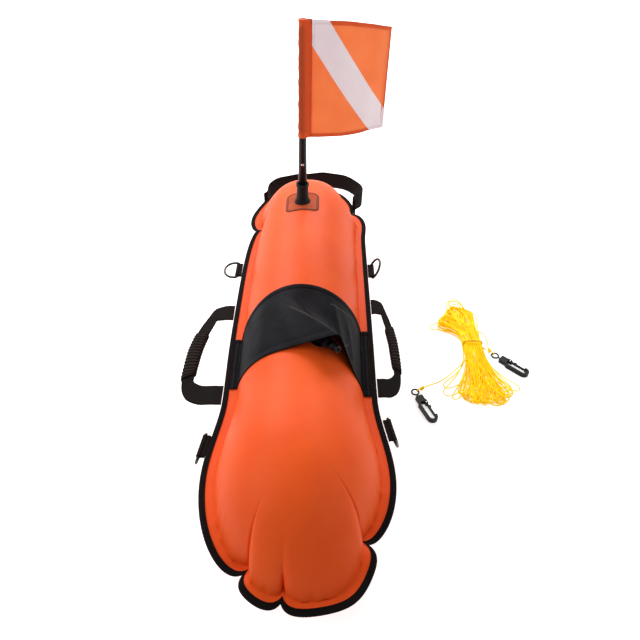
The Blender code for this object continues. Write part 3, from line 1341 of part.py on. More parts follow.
add_lead(1, hank_points[0], (hank_points[1] - hank_points[0]).normalized(),
         ((0.2360, 0.4535, 0.0), (0.2574, 0.4624, 0.0), (0.2720, 0.4760, 0.0)))
add_lead(2, hank_points[-1], (hank_points[-2] - hank_points[-1]).normalized(),
         ((0.3600, 0.5490, 0.001), (0.3610, 0.5600, 0.003), (0.3600, 0.5710, 0.006)))

# Frame: the middle of the base under every piece but the line and what hangs on it

LINE_PREFIXES = ("line_", "hook_", "knot_", "hank_")


def place_in_frame():
    """Sets the float so that the origin is under the middle of its bounds, on the floor."""
    bpy.context.view_layer.update()
    graph = bpy.context.evaluated_depsgraph_get()
    low = Vector((math.inf, math.inf, math.inf))
    high = -low
    for name, thing in pieces.items():
        if name.startswith(LINE_PREFIXES):
            continue
        mesh = thing.evaluated_get(graph).to_mesh()
        for vert in mesh.vertices:
            place = thing.location + vert.co
            low = Vector(map(min, low, place))
            high = Vector(map(max, high, place))
    float_frame.location = (-(low.x + high.x) / 2, -(low.y + high.y) / 2, -low.z)
    bpy.context.view_layer.update()


place_in_frame()
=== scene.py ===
"""Dive flag buoy: the looks of the inflated float, its flag and mast, its handles and its line."""
import math
from math import cos, pi, radians, sin

import bmesh
import bpy
import numpy as np
from mathutils import Matrix, Vector


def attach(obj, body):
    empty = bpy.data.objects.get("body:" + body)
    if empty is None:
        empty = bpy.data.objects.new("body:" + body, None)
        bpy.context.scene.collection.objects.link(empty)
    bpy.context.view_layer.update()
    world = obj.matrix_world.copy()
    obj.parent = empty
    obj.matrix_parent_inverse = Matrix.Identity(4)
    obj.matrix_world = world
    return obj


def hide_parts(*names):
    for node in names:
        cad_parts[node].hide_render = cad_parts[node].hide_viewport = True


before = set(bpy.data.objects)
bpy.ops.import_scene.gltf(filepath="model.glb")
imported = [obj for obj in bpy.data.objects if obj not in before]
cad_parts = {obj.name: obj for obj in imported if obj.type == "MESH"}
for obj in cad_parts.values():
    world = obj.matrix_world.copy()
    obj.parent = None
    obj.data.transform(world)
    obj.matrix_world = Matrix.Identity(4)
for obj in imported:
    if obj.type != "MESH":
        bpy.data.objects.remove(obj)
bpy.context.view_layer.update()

# Camera, floor and light. The photo looks down on the float from above its nose; the floor and
# the background are plain white.

FLOAT_TO_FRAME = Vector((0.013562, -0.512244, 0.10095))
FLOOR_Z = -0.10095
CAMERA_PLACE = Vector((0.0385, -0.281, 0.7361))
CAMERA_PITCH = 42.6
CAMERA_YAW = 0.5
CAMERA_LENS = 33.75
CAMERA_SENSOR = 36.0
FLOOR_HALF = 12.0
FLOOR_GLOW = 0.62
SKY_LIGHT = 0.34
SKY_SEEN = 1.0
LAMP_AIM = Vector((0.0, 0.0, 0.1))
LAMPS = (("far left window", (-1.1, 1.9, 1.5), 43.0, 1.3), ("far window", (0.7, 2.2, 1.6), 41.0, 1.3),
         ("left window", (-1.9, -0.3, 1.5), 21.0, 1.5), ("right fill", (1.9, -0.3, 1.4), 11.0, 1.8))


def srgb(code):
    """A hex colour such as e8561f as linear red, green, blue and alpha."""
    parts = [int(code[place:place + 2], 16) / 255 for place in (0, 2, 4)]
    return (*[part / 12.92 if part <= 0.04045 else ((part + 0.055) / 1.055) ** 2.4 for part in parts], 1.0)


def set_inputs(node, **inputs):
    """Gives a node's inputs, by name or as i0, i1 and so on, each a value or a socket to link from."""
    for name, value in inputs.items():
        socket = node.inputs[int(name[1:]) if name[1:].isdigit() else name.replace("_", " ")]
        if isinstance(value, bpy.types.NodeSocket):
            node.id_data.links.new(value, socket)
        else:
            socket.default_value = value


def add_node(material, kind, settings=None, **inputs):
    """Adds a shader node with its settings and its inputs."""
    node = material.node_tree.nodes.new("ShaderNode" + kind)
    for name, value in (settings or {}).items():
        setattr(node, name, value)
    set_inputs(node, **inputs)
    return node


def new_finish(name, colour, roughness, **inputs):
    """A material with a Principled shader; returns the material and the shader."""
    material = bpy.data.materials.new(name)
    material.use_nodes = True
    shader = material.node_tree.nodes["Principled BSDF"]
    set_inputs(shader, Base_Color=srgb(colour), Roughness=roughness, **inputs)
    return material, shader


def place_object(name, data, material=None, body=None, *nodes):
    """Makes a piece from its data, with its finish, riding on a body and in place of nodes."""
    piece = bpy.data.objects.new(name, data)
    bpy.context.collection.objects.link(piece)
    if material is not None:
        data.materials.append(material)
    if body is not None:
        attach(piece, body)
    if nodes:
        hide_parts(*nodes)
    return piece


def mesh_piece(name, shape, *place):
    """Makes a piece from a shape under construction; place is its material, body and nodes."""
    data = bpy.data.meshes.new(name)
    shape.to_mesh(data)
    shape.free()
    return place_object(name, data, *place)


camera = place_object("camera", bpy.data.cameras.new("camera"))
camera.data.lens = CAMERA_LENS
camera.data.sensor_width = CAMERA_SENSOR
camera.location = CAMERA_PLACE + FLOAT_TO_FRAME
camera.rotation_euler = (radians(90 - CAMERA_PITCH), 0.0, radians(CAMERA_YAW))
bpy.context.scene.camera = camera

# White paper, dull, that glows to the camera and in reflections, so that it stays white in shade.
floor_mesh = bmesh.new()
bmesh.ops.create_grid(floor_mesh, x_segments=1, y_segments=1, size=FLOOR_HALF)
floor_finish, floor_shader = new_finish("studio floor paper", "f4f4f4", 0.9)
paths = add_node(floor_finish, "LightPath").outputs
seen = add_node(floor_finish, "Math", {"operation": "MAXIMUM"}, i0=paths["Is Camera Ray"],
                i1=paths["Is Glossy Ray"])
seen = add_node(floor_finish, "Math", {"operation": "MAXIMUM"}, i0=seen.outputs[0],
                i1=paths["Is Transmission Ray"])
glow = add_node(floor_finish, "Emission", Color=(1.0, 1.0, 1.0, 1.0), Strength=FLOOR_GLOW)
added = add_node(floor_finish, "AddShader", i0=floor_shader.outputs[0], i1=glow.outputs[0])
mixed = add_node(floor_finish, "MixShader", i0=seen.outputs[0], i1=floor_shader.outputs[0],
                 i2=added.outputs[0])
set_inputs(floor_finish.node_tree.nodes["Material Output"], Surface=mixed.outputs[0])
mesh_piece("floor", floor_mesh, floor_finish)

world = bpy.data.worlds.new("studio")
bpy.context.scene.world = world
world.use_nodes = True
sky_paths = add_node(world, "LightPath").outputs
sky_level = add_node(world, "Mix", i0=sky_paths["Is Camera Ray"], i2=SKY_LIGHT, i3=SKY_SEEN)
set_inputs(world.node_tree.nodes["Background"], Color=(1.0, 1.0, 1.0, 1.0), Strength=sky_level.outputs[0])

for lamp_name, place, power, size in LAMPS:
    lamp = place_object(lamp_name, bpy.data.lights.new(lamp_name, "AREA"))
    lamp.data.energy = power
    lamp.data.size = size
    lamp.location = place
    lamp.rotation_euler = (LAMP_AIM - Vector(place)).to_track_quat("-Z", "Y").to_euler()

bpy.context.scene.view_settings.view_transform = "Standard"

# The line: about 30 m of 2 mm braided cord in a hank tied at its waist, both ends led out to
# knots on the snap hooks. Every loop passes the waist twice and lies out in a lobe above and a
# lobe below it; a few loops have slipped out of the bundle, as loose cord does.

CORD = 0.002
CORD_STEP = 0.0045
HANK_PLACE = Vector((0.329, 0.553))
HANK_LOOPS = 58
HALF_POINTS = 16
WAIST_ROWS = 7
WAIST_STEP = 0.00207
WAIST_STRIDE = 23
WAIST_SHIFT = 11
LOBE_HEIGHT = 0.0075
HANK_SEED = 100
# Steps between loops that spread their headings and their heights evenly without repeating
UPPER_SPREAD = 0.6180339887
LOWER_SPREAD = 0.4142135624
LEVEL_SPREAD = 0.7548776662
# Each lobe: its first and last heading in degrees, and the share of all loops up to its end. Each
# reach: a heading and how far loops go there
UPPER_LOBES = ((-96.0, -54.0, 0.36), (-50.0, 14.0, 1.0))
LOWER_LOBES = ((-38.0, -6.0, 0.42), (-8.0, 47.0, 1.0))
UPPER_REACH = ((-96.0, 0.094), (-50.0, 0.102), (-22.0, 0.120), (14.0, 0.104))
LOWER_REACH = ((-38.0, 0.136), (-14.0, 0.152), (2.0, 0.147), (20.0, 0.155), (47.0, 0.138))
# Loops that slipped out, by number: heading at the far end, length and half width
UPPER_STRAYS = {9: (-112.0, 0.106, 0.010), 31: (-15.0, 0.141, 0.019), 44: (-19.0, 0.136, 0.023)}
LOWER_STRAYS = {5: (-58.0, 0.150, 0.012), 17: (-44.0, 0.150, 0.008), 38: (60.0, 0.138, 0.012),
                50: (-66.0, 0.134, 0.010)}
LOW = FLOOR_Z + CORD / 2 + 0.0003
KNOT_START = Vector((0.21867, 0.44235, -0.09665))
KNOT_STOP = Vector((0.36065, 0.54082, -0.09665))
FIRST_LEAD = (KNOT_START, (0.2202, 0.4437, -0.0966), (0.2360, 0.4535, LOW), (0.2574, 0.4640, LOW),
              (0.2800, 0.4820, LOW + 0.002), (0.3050, 0.5060, LOW + 0.006), (0.3250, 0.5300, LOW + 0.009))
LAST_LEAD = ((0.3420, 0.5770, LOW + 0.011), (0.3500, 0.5850, LOW + 0.009), (0.3580, 0.5800, LOW + 0.005),
             (0.3612, 0.5620, LOW + 0.003), (0.3600, 0.5490, LOW + 0.001), (0.3598, 0.5427, -0.0966),
             KNOT_STOP)


def eased(value):
    """A share from 0 to 1 with a soft start and a soft end."""
    value = np.clip(value, 0.0, 1.0)
    return value * value * (3 - 2 * value)


def powered(value, power):
    """A power of a value's size that keeps its sign, to square off a circle's cosine or sine."""
    return math.copysign(abs(value) ** power, value)


def whole_turn(steps):
    """Angles all the way round in even steps, with the first one again at the end."""
    return np.linspace(0.0, 2 * pi, steps + 1)


def arc_points(middle, radii, turns, power=1.0):
    """Points on an ellipse at the given angles, squared off by a power under 1."""
    (x, y), (wide, high) = middle, radii
    return [(x + wide * powered(cos(turn), power), y + high * powered(sin(turn), power)) for turn in turns]


def waist_place(crossing, right):
    """Where the cord lies in the tied waist: packed in rows, each crossing in a place of its own."""
    slot = (crossing * WAIST_STRIDE + (WAIST_SHIFT if right else 0)) % HANK_LOOPS
    row = slot % WAIST_ROWS
    across = (slot // WAIST_ROWS + 0.5 + 0.5 * (row % 2)) * WAIST_STEP
    return (across if right else -across), LOW + 0.0006 + row * WAIST_STEP * 0.88


def half_loop(number, upper):
    """Points of one lobe from the waist out and back; upper lobes run right to left, lower ones back."""
    luck = np.random.default_rng(HANK_SEED + 2 * number + upper)
    lobes, reach = (UPPER_LOBES, UPPER_REACH) if upper else (LOWER_LOBES, LOWER_REACH)
    strays = UPPER_STRAYS if upper else LOWER_STRAYS
    share = ((number + 0.5) * (UPPER_SPREAD if upper else LOWER_SPREAD)) % 1.0
    first, last, until = lobes[0] if share < lobes[0][2] else lobes[1]
    start = 0.0 if share < lobes[0][2] else lobes[0][2]
    heading = first + (last - first) * (share - start) / (until - start)
    length = np.interp(heading, *zip(*reach)) * luck.uniform(0.91, 1.0)
    half_width = luck.uniform(0.005, 0.0175)
    heading, length, half_width = strays.get(number, (heading, length, half_width))
    level = LOW + LOBE_HEIGHT * ((number * LEVEL_SPREAD) % 1.0) * (0.3 if number in strays else 1.0)
    here_x, here_z = waist_place(number, upper)
    there_x, there_z = waist_place(number + (0 if upper else 1), not upper)
    bend = radians(heading) / length
    points = []
    for step in range(HALF_POINTS):
        turn = pi * step / HALF_POINTS
        out = length * sin(turn)
        side = (1 if upper else -1) * powered(cos(turn), 0.5)
        side *= half_width * sin(turn) ** 1.3
        share = (1 - cos(turn)) / 2
        across = (here_x + (there_x - here_x) * share) * (1 - 0.45 * sin(turn))
        angle = bend * out
        x = (1 - cos(angle)) / bend + (side + across) * cos(angle)
        y = sin(angle) / bend - (side + across) * sin(angle)
        rest = eased(out / (0.62 * length))
        z = (here_z + (there_z - here_z) * share) * (1 - rest) + level * rest
        points.append(Vector((HANK_PLACE.x + x, HANK_PLACE.y + (y if upper else -y), z)))
    return points


def between(before, here, there, after, share):
    """A place on the smooth curve through four points, at a share of the way between the middle two."""
    return 0.5 * (2 * here + (there - before) * share
                  + (2 * before - 5 * here + 4 * there - after) * share ** 2
                  + (3 * here - before - 3 * there + after) * share ** 3)


def smooth_route(points, step):
    """Points at even steps along a smooth curve through a route's own points."""
    points = [Vector(point) for point in points]
    ends = [2 * points[0] - points[1]] + points + [2 * points[-1] - points[-2]]
    dense = [between(*ends[index - 1:index + 3], part / 12)
             for index in range(1, len(ends) - 2) for part in range(12)] + [points[-1]]
    ways = [0.0]
    for here, there in zip(dense, dense[1:]):
        ways.append(ways[-1] + (there - here).length)
    wanted = np.linspace(0.0, ways[-1], max(round(ways[-1] / step), 2) + 1)
    columns = [np.interp(wanted, ways, [point[axis] for point in dense]) for axis in range(3)]
    return [Vector(point) for point in zip(*columns)]


def grid_piece(name, points, material, body, *nodes, closed=False, flip=False, amount=None):
    """A piece over a grid of points, in place of nodes; its amount is kept for the material."""
    points = np.array(points)
    rows, columns = points.shape[:2]
    sheet = bmesh.new()
    bmesh.ops.create_grid(sheet, x_segments=columns - 1, y_segments=rows - 1, size=1.0)
    marks = sheet.loops.layers.uv.new("UVMap")
    kept = sheet.verts.layers.float.new("amount") if amount is not None else None
    flat = points.reshape(-1, 3) + np.array(FLOAT_TO_FRAME)
    order = sorted(sheet.verts, key=lambda corner: (round(corner.co.y, 6), corner.co.x))
    places = {}
    for number, corner in enumerate(order):
        places[corner] = (number % columns / (columns - 1), number // columns / (rows - 1))
        corner.co = flat[number]
        if kept is not None:
            corner[kept] = amount.reshape(-1)[number]
    for face in sheet.faces:
        face.smooth = True
        for loop in face.loops:
            loop[marks].uv = places[loop.vert]
    bmesh.ops.remove_doubles(sheet, verts=sheet.verts, dist=0.00001)
    if closed:
        bmesh.ops.holes_fill(sheet, edges=[edge for edge in sheet.edges if edge.is_boundary], sides=0)
        bmesh.ops.recalc_face_normals(sheet, faces=sheet.faces)
    if flip:
        bmesh.ops.reverse_faces(sheet, faces=sheet.faces)
    return mesh_piece(name, sheet, material, body, *nodes)


def cord_piece(name, points, diameter, material, *nodes):
    """A round cord on the float as a curve of one spline with filled ends, in place of nodes."""
    curve = bpy.data.curves.new(name, "CURVE")
    curve.dimensions = "3D"
    curve.bevel_depth = diameter / 2
    curve.bevel_resolution = 3
    curve.use_fill_caps = True
    spline = curve.splines.new("POLY")
    spline.points.add(len(points) - 1)
    for spot, point in zip(spline.points, points):
        spot.co = (*(Vector(point) + FLOAT_TO_FRAME), 1.0)
    return place_object(name, curve, material, "float", *nodes)


def clouded(finish, shader, scale, detail, tones, positions, shine=None):
    """Soft clouds about 1 / scale m across, between two tones and two roughnesses; returns the colour."""
    place = add_node(finish, "TexCoord").outputs["Object"]
    cloud = add_node(finish, "TexNoise", Vector=place, Scale=scale, Detail=detail).outputs["Fac"]
    ramp = add_node(finish, "ValToRGB", Fac=cloud)
    for element, tone, position in zip(ramp.color_ramp.elements, tones, positions):
        element.position = position
        element.color = srgb(tone)
    set_inputs(shader, Base_Color=ramp.outputs["Color"])
    if shine:
        uneven = add_node(finish, "MapRange", Value=cloud, To_Min=shine[0], To_Max=shine[1])
        set_inputs(shader, Roughness=uneven.outputs[0])
    return ramp.outputs["Color"]


def grained(finish, shader, scale, detail, strength, depth):
    """Raises a grain over the surface, with specks about 1 / scale m across; returns its normal."""
    place = add_node(finish, "TexCoord").outputs["Object"]
    grain = add_node(finish, "TexNoise", Vector=place, Scale=scale, Detail=detail)
    bump = add_node(finish, "Bump", Strength=strength, Distance=depth, Height=grain.outputs["Fac"])
    set_inputs(shader, Normal=bump.outputs["Normal"])
    return bump.outputs["Normal"]


def braided_cord(name, dark, light):
    """Braided cord: cloudy in tone, with a painted glow from its darker yellow that lightens its shaded
    parts.

    Its braid is drawn 1 mm long, about as coarse as the real one.
    """
    # The emission is a painted glow that lightens the cord where it lies in shade.
    finish, shader = new_finish(name, light, 0.55, Specular_IOR_Level=0.15, Emission_Color=srgb(dark),
                                Emission_Strength=0.16)
    clouded(finish, shader, 45.0, 3.0, (dark, light), (0.35, 0.62))
    grained(finish, shader, 900.0, 1.0, 0.25, 0.0003)
    return finish


line_finish = braided_cord("braided polyethylene cord", "fcc800", "ffe010")
hank = []
for number in range(HANK_LOOPS):
    hank += half_loop(number, True) + half_loop(number, False)
line_points = smooth_route([*FIRST_LEAD, *hank[2:-1], *LAST_LEAD], CORD_STEP)
line = cord_piece("line", line_points, CORD, line_finish, "line_hank", "line_lead_1", "line_lead_2")

# The waist is tied with a piece of the same line, wound twice round it and knotted at its side.
TIE_STEPS = 96
tie_points = []
for step in range(TIE_STEPS + 1):
    turn = 4 * pi * step / TIE_STEPS - 0.35
    wide = 0.0178 + 0.0006 * sin(turn / 2)
    tie_points.append((HANK_PLACE.x + 0.0005 + wide * powered(cos(turn), 0.62),
                       HANK_PLACE.y - 0.0011 + 0.0023 * step / TIE_STEPS,
                       LOW + 0.0082 + 0.0082 * powered(sin(turn), 0.45)))
tie_points += [(HANK_PLACE.x + 0.0182 + 0.0022 * cos(turn), HANK_PLACE.y + 0.0012 + 0.0030 * sin(turn),
                LOW + 0.0040 - 0.0006 * turn) for turn in np.linspace(0.4, 6.0, 18)]
tie_points += [(HANK_PLACE.x + 0.0220, HANK_PLACE.y - 0.0030, LOW),
               (HANK_PLACE.x + 0.0262, HANK_PLACE.y - 0.0072, LOW)]
# The tie's darker yellow is painted shade; it is the same cord as the line.
tie = cord_piece("waist_tie", tie_points, CORD, braided_cord("tie cord in painted shade", "b98a14", "e6b820"), "hank_tie")

# Each end of the line passes through the eye of a hook, is wound round itself and pulled tight.
HOOKS = {1: ((0.205, 0.433), (0.233, 0.367)), 2: ((0.3685, 0.5262), (0.4207, 0.4767))}
HOOK_Z = FLOOR_Z + 0.0043
EYE_RADIUS = 0.0065
EYE_WIRE = 0.0015
KNOT_CORD = CORD * 0.94
KNOT_STEPS = 60
UP = Vector((0.0, 0.0, 1.0))
line_pieces = [tie]
for number, knot_middle, aim in ((1, KNOT_START, (0.7507, 0.6606)), (2, KNOT_STOP, (-0.4512, 0.8924))):
    eye = Vector((*HOOKS[number][0], HOOK_Z))
    aim = Vector((*aim, 0.0))
    side = Vector((-aim.y, aim.x, 0.0))
    rim = eye + (knot_middle - eye).normalized() * EYE_RADIUS
    bight = EYE_WIRE + CORD / 2
    path = [rim - aim * bight * cos(turn) * 0.9 + UP * bight * sin(turn) - side * 0.0003
            for turn in np.radians(np.linspace(-100, 100, 11))]
    for step in range(KNOT_STEPS + 1):
        turn = 2 * pi * step / 12 + 1.2
        swell = 0.0018 + 0.0005 * sin(pi * step / KNOT_STEPS)
        path.append(knot_middle + aim * (0.0036 - 0.0078 * step / KNOT_STEPS)
                    + (side * cos(turn) + UP * sin(turn)) * swell)
    path += [knot_middle - aim * 0.0040 + side * 0.0030 - UP * 0.0012,
             knot_middle - aim * 0.0026 + side * 0.0052 - UP * 0.0018]
    line_pieces.append(cord_piece("knot_cord_%d" % number, path, KNOT_CORD, line_finish, "knot_%d" % number))


def smoothed_copy(node, name, material, body, edge):
    """A copy of a node's mesh with its facets joined and its edges rounded."""
    shape = bmesh.new()
    shape.from_mesh(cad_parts[node].data)
    bmesh.ops.remove_doubles(shape, verts=shape.verts, dist=0.00002)
    bmesh.ops.dissolve_limit(shape, angle_limit=radians(1.5), verts=shape.verts, edges=shape.edges)
    sharp = [rim for rim in shape.edges if rim.is_manifold and rim.calc_face_angle() > radians(28)]
    bmesh.ops.bevel(shape, geom=sharp, offset=edge, segments=3, profile=0.5, affect="EDGES",
                    clamp_overlap=True)
    for face in shape.faces:
        face.smooth = True
    piece = mesh_piece(name, shape, material, body, node)
    piece.modifiers.new("even shading", "WEIGHTED_NORMAL").keep_sharp = True
    return piece


def turned_grid(profile, place, aim, sides=40):
    """Points of a shape turned round an axis; the profile holds radii and heights."""
    turn = np.array(Vector(aim).to_track_quat("Z", "Y").to_matrix())
    angles = whole_turn(sides)
    rows = np.array([[(radius * cos(angle), radius * sin(angle), height) for angle in angles]
                     for radius, height in profile])
    return rows @ turn.T + np.array(place)


def rounded(profile, reach):
    """A profile with each corner cut by three points over a short reach."""
    points = [Vector(point) for point in profile]
    result = [points[0]]
    for before, here, after in zip(points, points[1:], points[2:]):
        near = min(reach, (here - before).length * 0.4)
        far = min(reach, (after - here).length * 0.4)
        start = here + (before - here).normalized() * near
        stop = here + (after - here).normalized() * far
        result += [start, (start + 2 * here + stop) / 4, stop]
    return [tuple(point) for point in result + [points[-1]]]


def moulded(name, colour, light, roughness, grain=260.0, depth=0.00012, **inputs):
    """Moulded plastic or rubber: a fine grain, and wear that shows a little paler and duller."""
    finish, shader = new_finish(name, colour, roughness, Specular_IOR_Level=0.18, **inputs)
    clouded(finish, shader, grain * 0.3, 4.0, (colour, light), (0.40, 0.75),
            (roughness - 0.06, roughness + 0.10))
    grained(finish, shader, grain * 4, 2.0, 0.25, depth)
    return finish


# The snap hooks: black moulded plastic; the eye turns on a headed stem and the gate on a steel pin.
hook_plastic = moulded("black hook plastic", "0d0c0c", "1b1918", 0.42)
steel = moulded("bright steel", "c9c8c6", "e4e3e0", 0.24, 400.0, 0.00004, Metallic=1.0)
worn_plastic = moulded("black hook plastic with round edges", "0d0c0c", "1b1918", 0.42)
soft_edge = add_node(worn_plastic, "Bevel", Radius=0.0008)
bump = next(node for node in worn_plastic.node_tree.nodes if node.type == "BUMP")
set_inputs(bump, Normal=soft_edge.outputs["Normal"])
EYE_RING = arc_points((EYE_RADIUS, 0.0), (EYE_WIRE, EYE_WIRE), whole_turn(16))
STEM_ROWS = rounded(((0.0, EYE_RADIUS + 0.0004), (0.0015, EYE_RADIUS + 0.0004), (0.0015, 0.0270),
                     (0.0026, 0.0270), (0.0026, 0.0295), (0.0, 0.0295)), 0.0004)
for number, (eye_place, tip) in HOOKS.items():
    hook = "hook_%d" % number
    eye = Vector((*eye_place, HOOK_Z))
    along = (Vector((*tip, HOOK_Z)) - eye).normalized()
    eye_piece = grid_piece("hook_eye_%d" % number, turned_grid(EYE_RING, eye, UP), hook_plastic, "float",
                           hook + "_eye")
    stem_piece = grid_piece("hook_stem_%d" % number, turned_grid(STEM_ROWS, eye, along, 24), hook_plastic,
                            "float", closed=True)
    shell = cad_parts[hook + "_body"]
    shell.data.materials.clear()
    shell.data.materials.append(worn_plastic)
    gate = smoothed_copy(hook + "_gate", "hook_latch_%d" % number, hook_plastic, hook + "_gate", 0.0004)
    pin = smoothed_copy(hook + "_gate_pin", "hook_rivet_%d" % number, steel, hook, 0.0003)
    line_pieces += [eye_piece, stem_piece, shell, gate, pin]

# The float: two panels of orange coated nylon welded along a flat flange and blown up tight. The
# cloth is drawn in at the nose and the tail where the welded rim can't stretch, so it folds there,
# and fine puckers stand all along the weld.

FLOAT_LENGTH = 0.985
NOSE_WIDTH = 0.278
TAIL_WIDTH = 0.250
NOSE_CAP = 0.190
TAIL_CAP = 0.205
SHOULDER_LENGTH = 0.140
WAIST_CUT = 0.002
WAIST_PLACE = 0.335
WAIST_REACH = 0.080
NOSE_DRIFT = 0.006
NOSE_POWER = 2 / 2.0
TAIL_POWER = 2 / 2.4
FLANGE_WIDTH = 0.022
NOSE_FLANGE_CUT = 0.005
NOSE_FLANGE_REACH = 0.150
# Rows of points over the flange, as shares of its width
FLANGE_ROWS = np.array((0.0030, 0.0075, 0.0110, 0.0135, 0.0155, 0.0165)) / 0.0172
FABRIC = 0.0008
SEAM_HALF = 0.00095
TOP_HEIGHT = 0.96
BELLY_DEPTH = 0.100
LENS_ANGLE = radians(15)
# Each pleat: its place as a share of half the rim, its depth, its width before and after, its rise,
# and how far up the panel its crease runs as a share of the way to the middle line
PLEATS = ((0.131, 0.0255, 0.0112, 0.0360, -0.0090, 0.44), (-0.0180, 0.0141, 0.0092, 0.0092, 0.00225, 0.15),
          (-0.0820, 0.0225, 0.0220, 0.0092, 0.0090, 0.36), (-0.778, 0.0210, 0.0160, 0.0440, 0.0054, 0.30),
          (0.840, 0.0225, 0.0160, 0.0200, -0.0054, 0.30))
PLEAT_TURN = 0.020
PLEAT_REACH = 0.55
CREASE_DEPTH = 0.0040
CREASE_WIDTH = 0.0024
SWELLS = ((0.067, 0.0080), (0.800, 0.0056), (-0.820, 0.0040))
SWELL_WIDTH = 0.035
PUCKER_COUNT = 190
PUCKER_HEIGHT = 0.0023
PUCKER_SEED = 7
PRESSED_PLACE = 0.415
PRESSED_REACH = 0.095
RIM_STEP = 0.0040
CREASE_STEP = 0.0013


def side_half_width(y):
    """Half the float's width over the binding along its sides."""
    width = NOSE_WIDTH + (TAIL_WIDTH - NOSE_WIDTH) * eased((y - NOSE_CAP) / SHOULDER_LENGTH)
    return width / 2 - WAIST_CUT * np.exp(-((y - WAIST_PLACE) / WAIST_REACH) ** 2)


def axis_x(y):
    """The middle line drifts a little to the right at the nose."""
    return NOSE_DRIFT * (1 - eased(2 * np.asarray(y) / FLOAT_LENGTH))


quarter = np.linspace(0.0, pi / 2, 400)
nose_y = NOSE_CAP * (1 - np.cos(quarter) ** NOSE_POWER)
side_y = np.linspace(NOSE_CAP, FLOAT_LENGTH - TAIL_CAP, 400)
tail_y = FLOAT_LENGTH - TAIL_CAP + TAIL_CAP * np.clip(np.cos(quarter[::-1]), 0, 1) ** TAIL_POWER
half_x = np.concatenate((side_half_width(NOSE_CAP) * np.sin(quarter[:-1]) ** NOSE_POWER,
                         side_half_width(side_y),
                         side_half_width(tail_y[1:]) * np.sin(quarter[::-1][1:]) ** TAIL_POWER))
half_y = np.concatenate((nose_y[:-1], side_y, tail_y[1:]))
half_arc = np.concatenate(([0.0], np.cumsum(np.hypot(np.diff(half_x), np.diff(half_y)))))
HALF_RIM = half_arc[-1]


def rim_place(arc):
    """Places on the smooth rim; arc runs from the nose, left negative."""
    y = np.interp(np.abs(arc), half_arc, half_y)
    side = np.where(arc >= 0, 1.0, -1.0)
    return axis_x(y) + side * np.interp(np.abs(arc), half_arc, half_x), y


def rim_outward(arc):
    """Directions outward from the smooth rim."""
    x_far, y_far = rim_place(arc + 0.004)
    x_near, y_near = rim_place(arc - 0.004)
    out_x, out_y = y_far - y_near, x_near - x_far
    length = np.maximum(np.hypot(out_x, out_y), 1e-9)
    tip = np.abs(arc) > HALF_RIM - 0.004
    return np.where(tip, arc / HALF_RIM * 0.05, out_x / length), np.where(tip, 1.0, out_y / length)


def pleat_shift(arc):
    """How far the pleats draw the rim in, and how far they lift it."""
    drawn = np.zeros_like(arc)
    lift = np.zeros_like(arc)
    for place, depth, before, after, rise, reach in PLEATS:
        way = arc - place * HALF_RIM
        drawn += depth * np.exp(-np.abs(way) / np.where(way > 0, after, before))
        turn = way / PLEAT_TURN
        lift += rise * turn * np.exp(1 - np.abs(turn))
    for place, depth in SWELLS:
        drawn -= depth * np.exp(-((arc - place * HALF_RIM) / SWELL_WIDTH) ** 2)
    return drawn, lift


def rim_stations(step, crease_step):
    """Places round the rim, closer together at the pleats."""
    dense = np.linspace(-HALF_RIM, HALF_RIM, 8001)
    need = np.full_like(dense, 1 / step)
    for place, *rest in PLEATS:
        need += (1 / crease_step - 1 / step) * np.exp(-((dense - place * HALF_RIM) / 0.024) ** 2)
    way = np.concatenate(([0.0], np.cumsum((need[1:] + need[:-1]) / 2 * np.diff(dense))))
    return np.interp(np.linspace(0.0, way[-1], round(way[-1]) + 1), way, dense)


# Small folds, each with a place, a height, a width, a reach up the panel and a slant
chance = np.random.default_rng(PUCKER_SEED)
pucker_places = np.sort(chance.uniform(-HALF_RIM, HALF_RIM, PUCKER_COUNT))
pucker_sizes = chance.uniform(0.2, 1.0, PUCKER_COUNT) * chance.choice((1.0, 1.0, -0.7), PUCKER_COUNT)
pucker_widths = chance.uniform(0.0028, 0.0062, PUCKER_COUNT)
pucker_reaches = chance.uniform(0.045, 0.17, PUCKER_COUNT)
pucker_slants = chance.uniform(-0.035, 0.035, PUCKER_COUNT)
PUCKERS = tuple(zip(pucker_places, pucker_sizes, pucker_widths, pucker_reaches, pucker_slants))


def puckers(arc, climb):
    """Height of the small folds that run up from the weld, less the creases of the pleats.

    Most small folds stand in the nose and the tail, and the band presses them flat at the waist.
    """
    height = np.zeros_like(climb)
    for place, size, width, reach, slant in PUCKERS:
        share = 0.35 + 0.65 * min(1.0, 3 * max(0.0, abs(abs(place) / HALF_RIM - 0.45) - 0.18))
        way = (arc - place - slant * climb) / (width * (1 + 2.5 * climb))
        height += PUCKER_HEIGHT * share * size * np.exp(-way ** 2) * np.exp(-(climb / reach) ** 1.6)
    height *= 1 - np.exp(-((rim_place(arc)[1] - PRESSED_PLACE) / PRESSED_REACH) ** 8)
    for place, *rest, reach in PLEATS:
        way = (arc - place * HALF_RIM) / CREASE_WIDTH
        height -= CREASE_DEPTH * np.exp(-way ** 2 - (climb / reach) ** 3)
    return height


def weld_inset(arc):
    """How far the weld lies inside the rim; the flange is narrower at the nose."""
    return FLANGE_WIDTH - NOSE_FLANGE_CUT * np.exp(-(arc / NOSE_FLANGE_REACH) ** 2)


def lens_rise(angle):
    """How high a panel's round section stands at an angle, as a share of its full height."""
    return (np.sin(angle) - sin(LENS_ANGLE)) / (1 - sin(LENS_ANGLE))


def on_flange(arc, inset, height):
    """Points at an inset from the drawn rim and a height over the middle of the weld."""
    x_rim, y_rim = rim_place(arc)
    x_out, y_out = rim_outward(arc)
    drawn, lift = pleat_shift(arc)
    inset = drawn + inset
    return np.stack((x_rim - x_out * inset, y_rim - y_out * inset, lift + height), axis=-1)


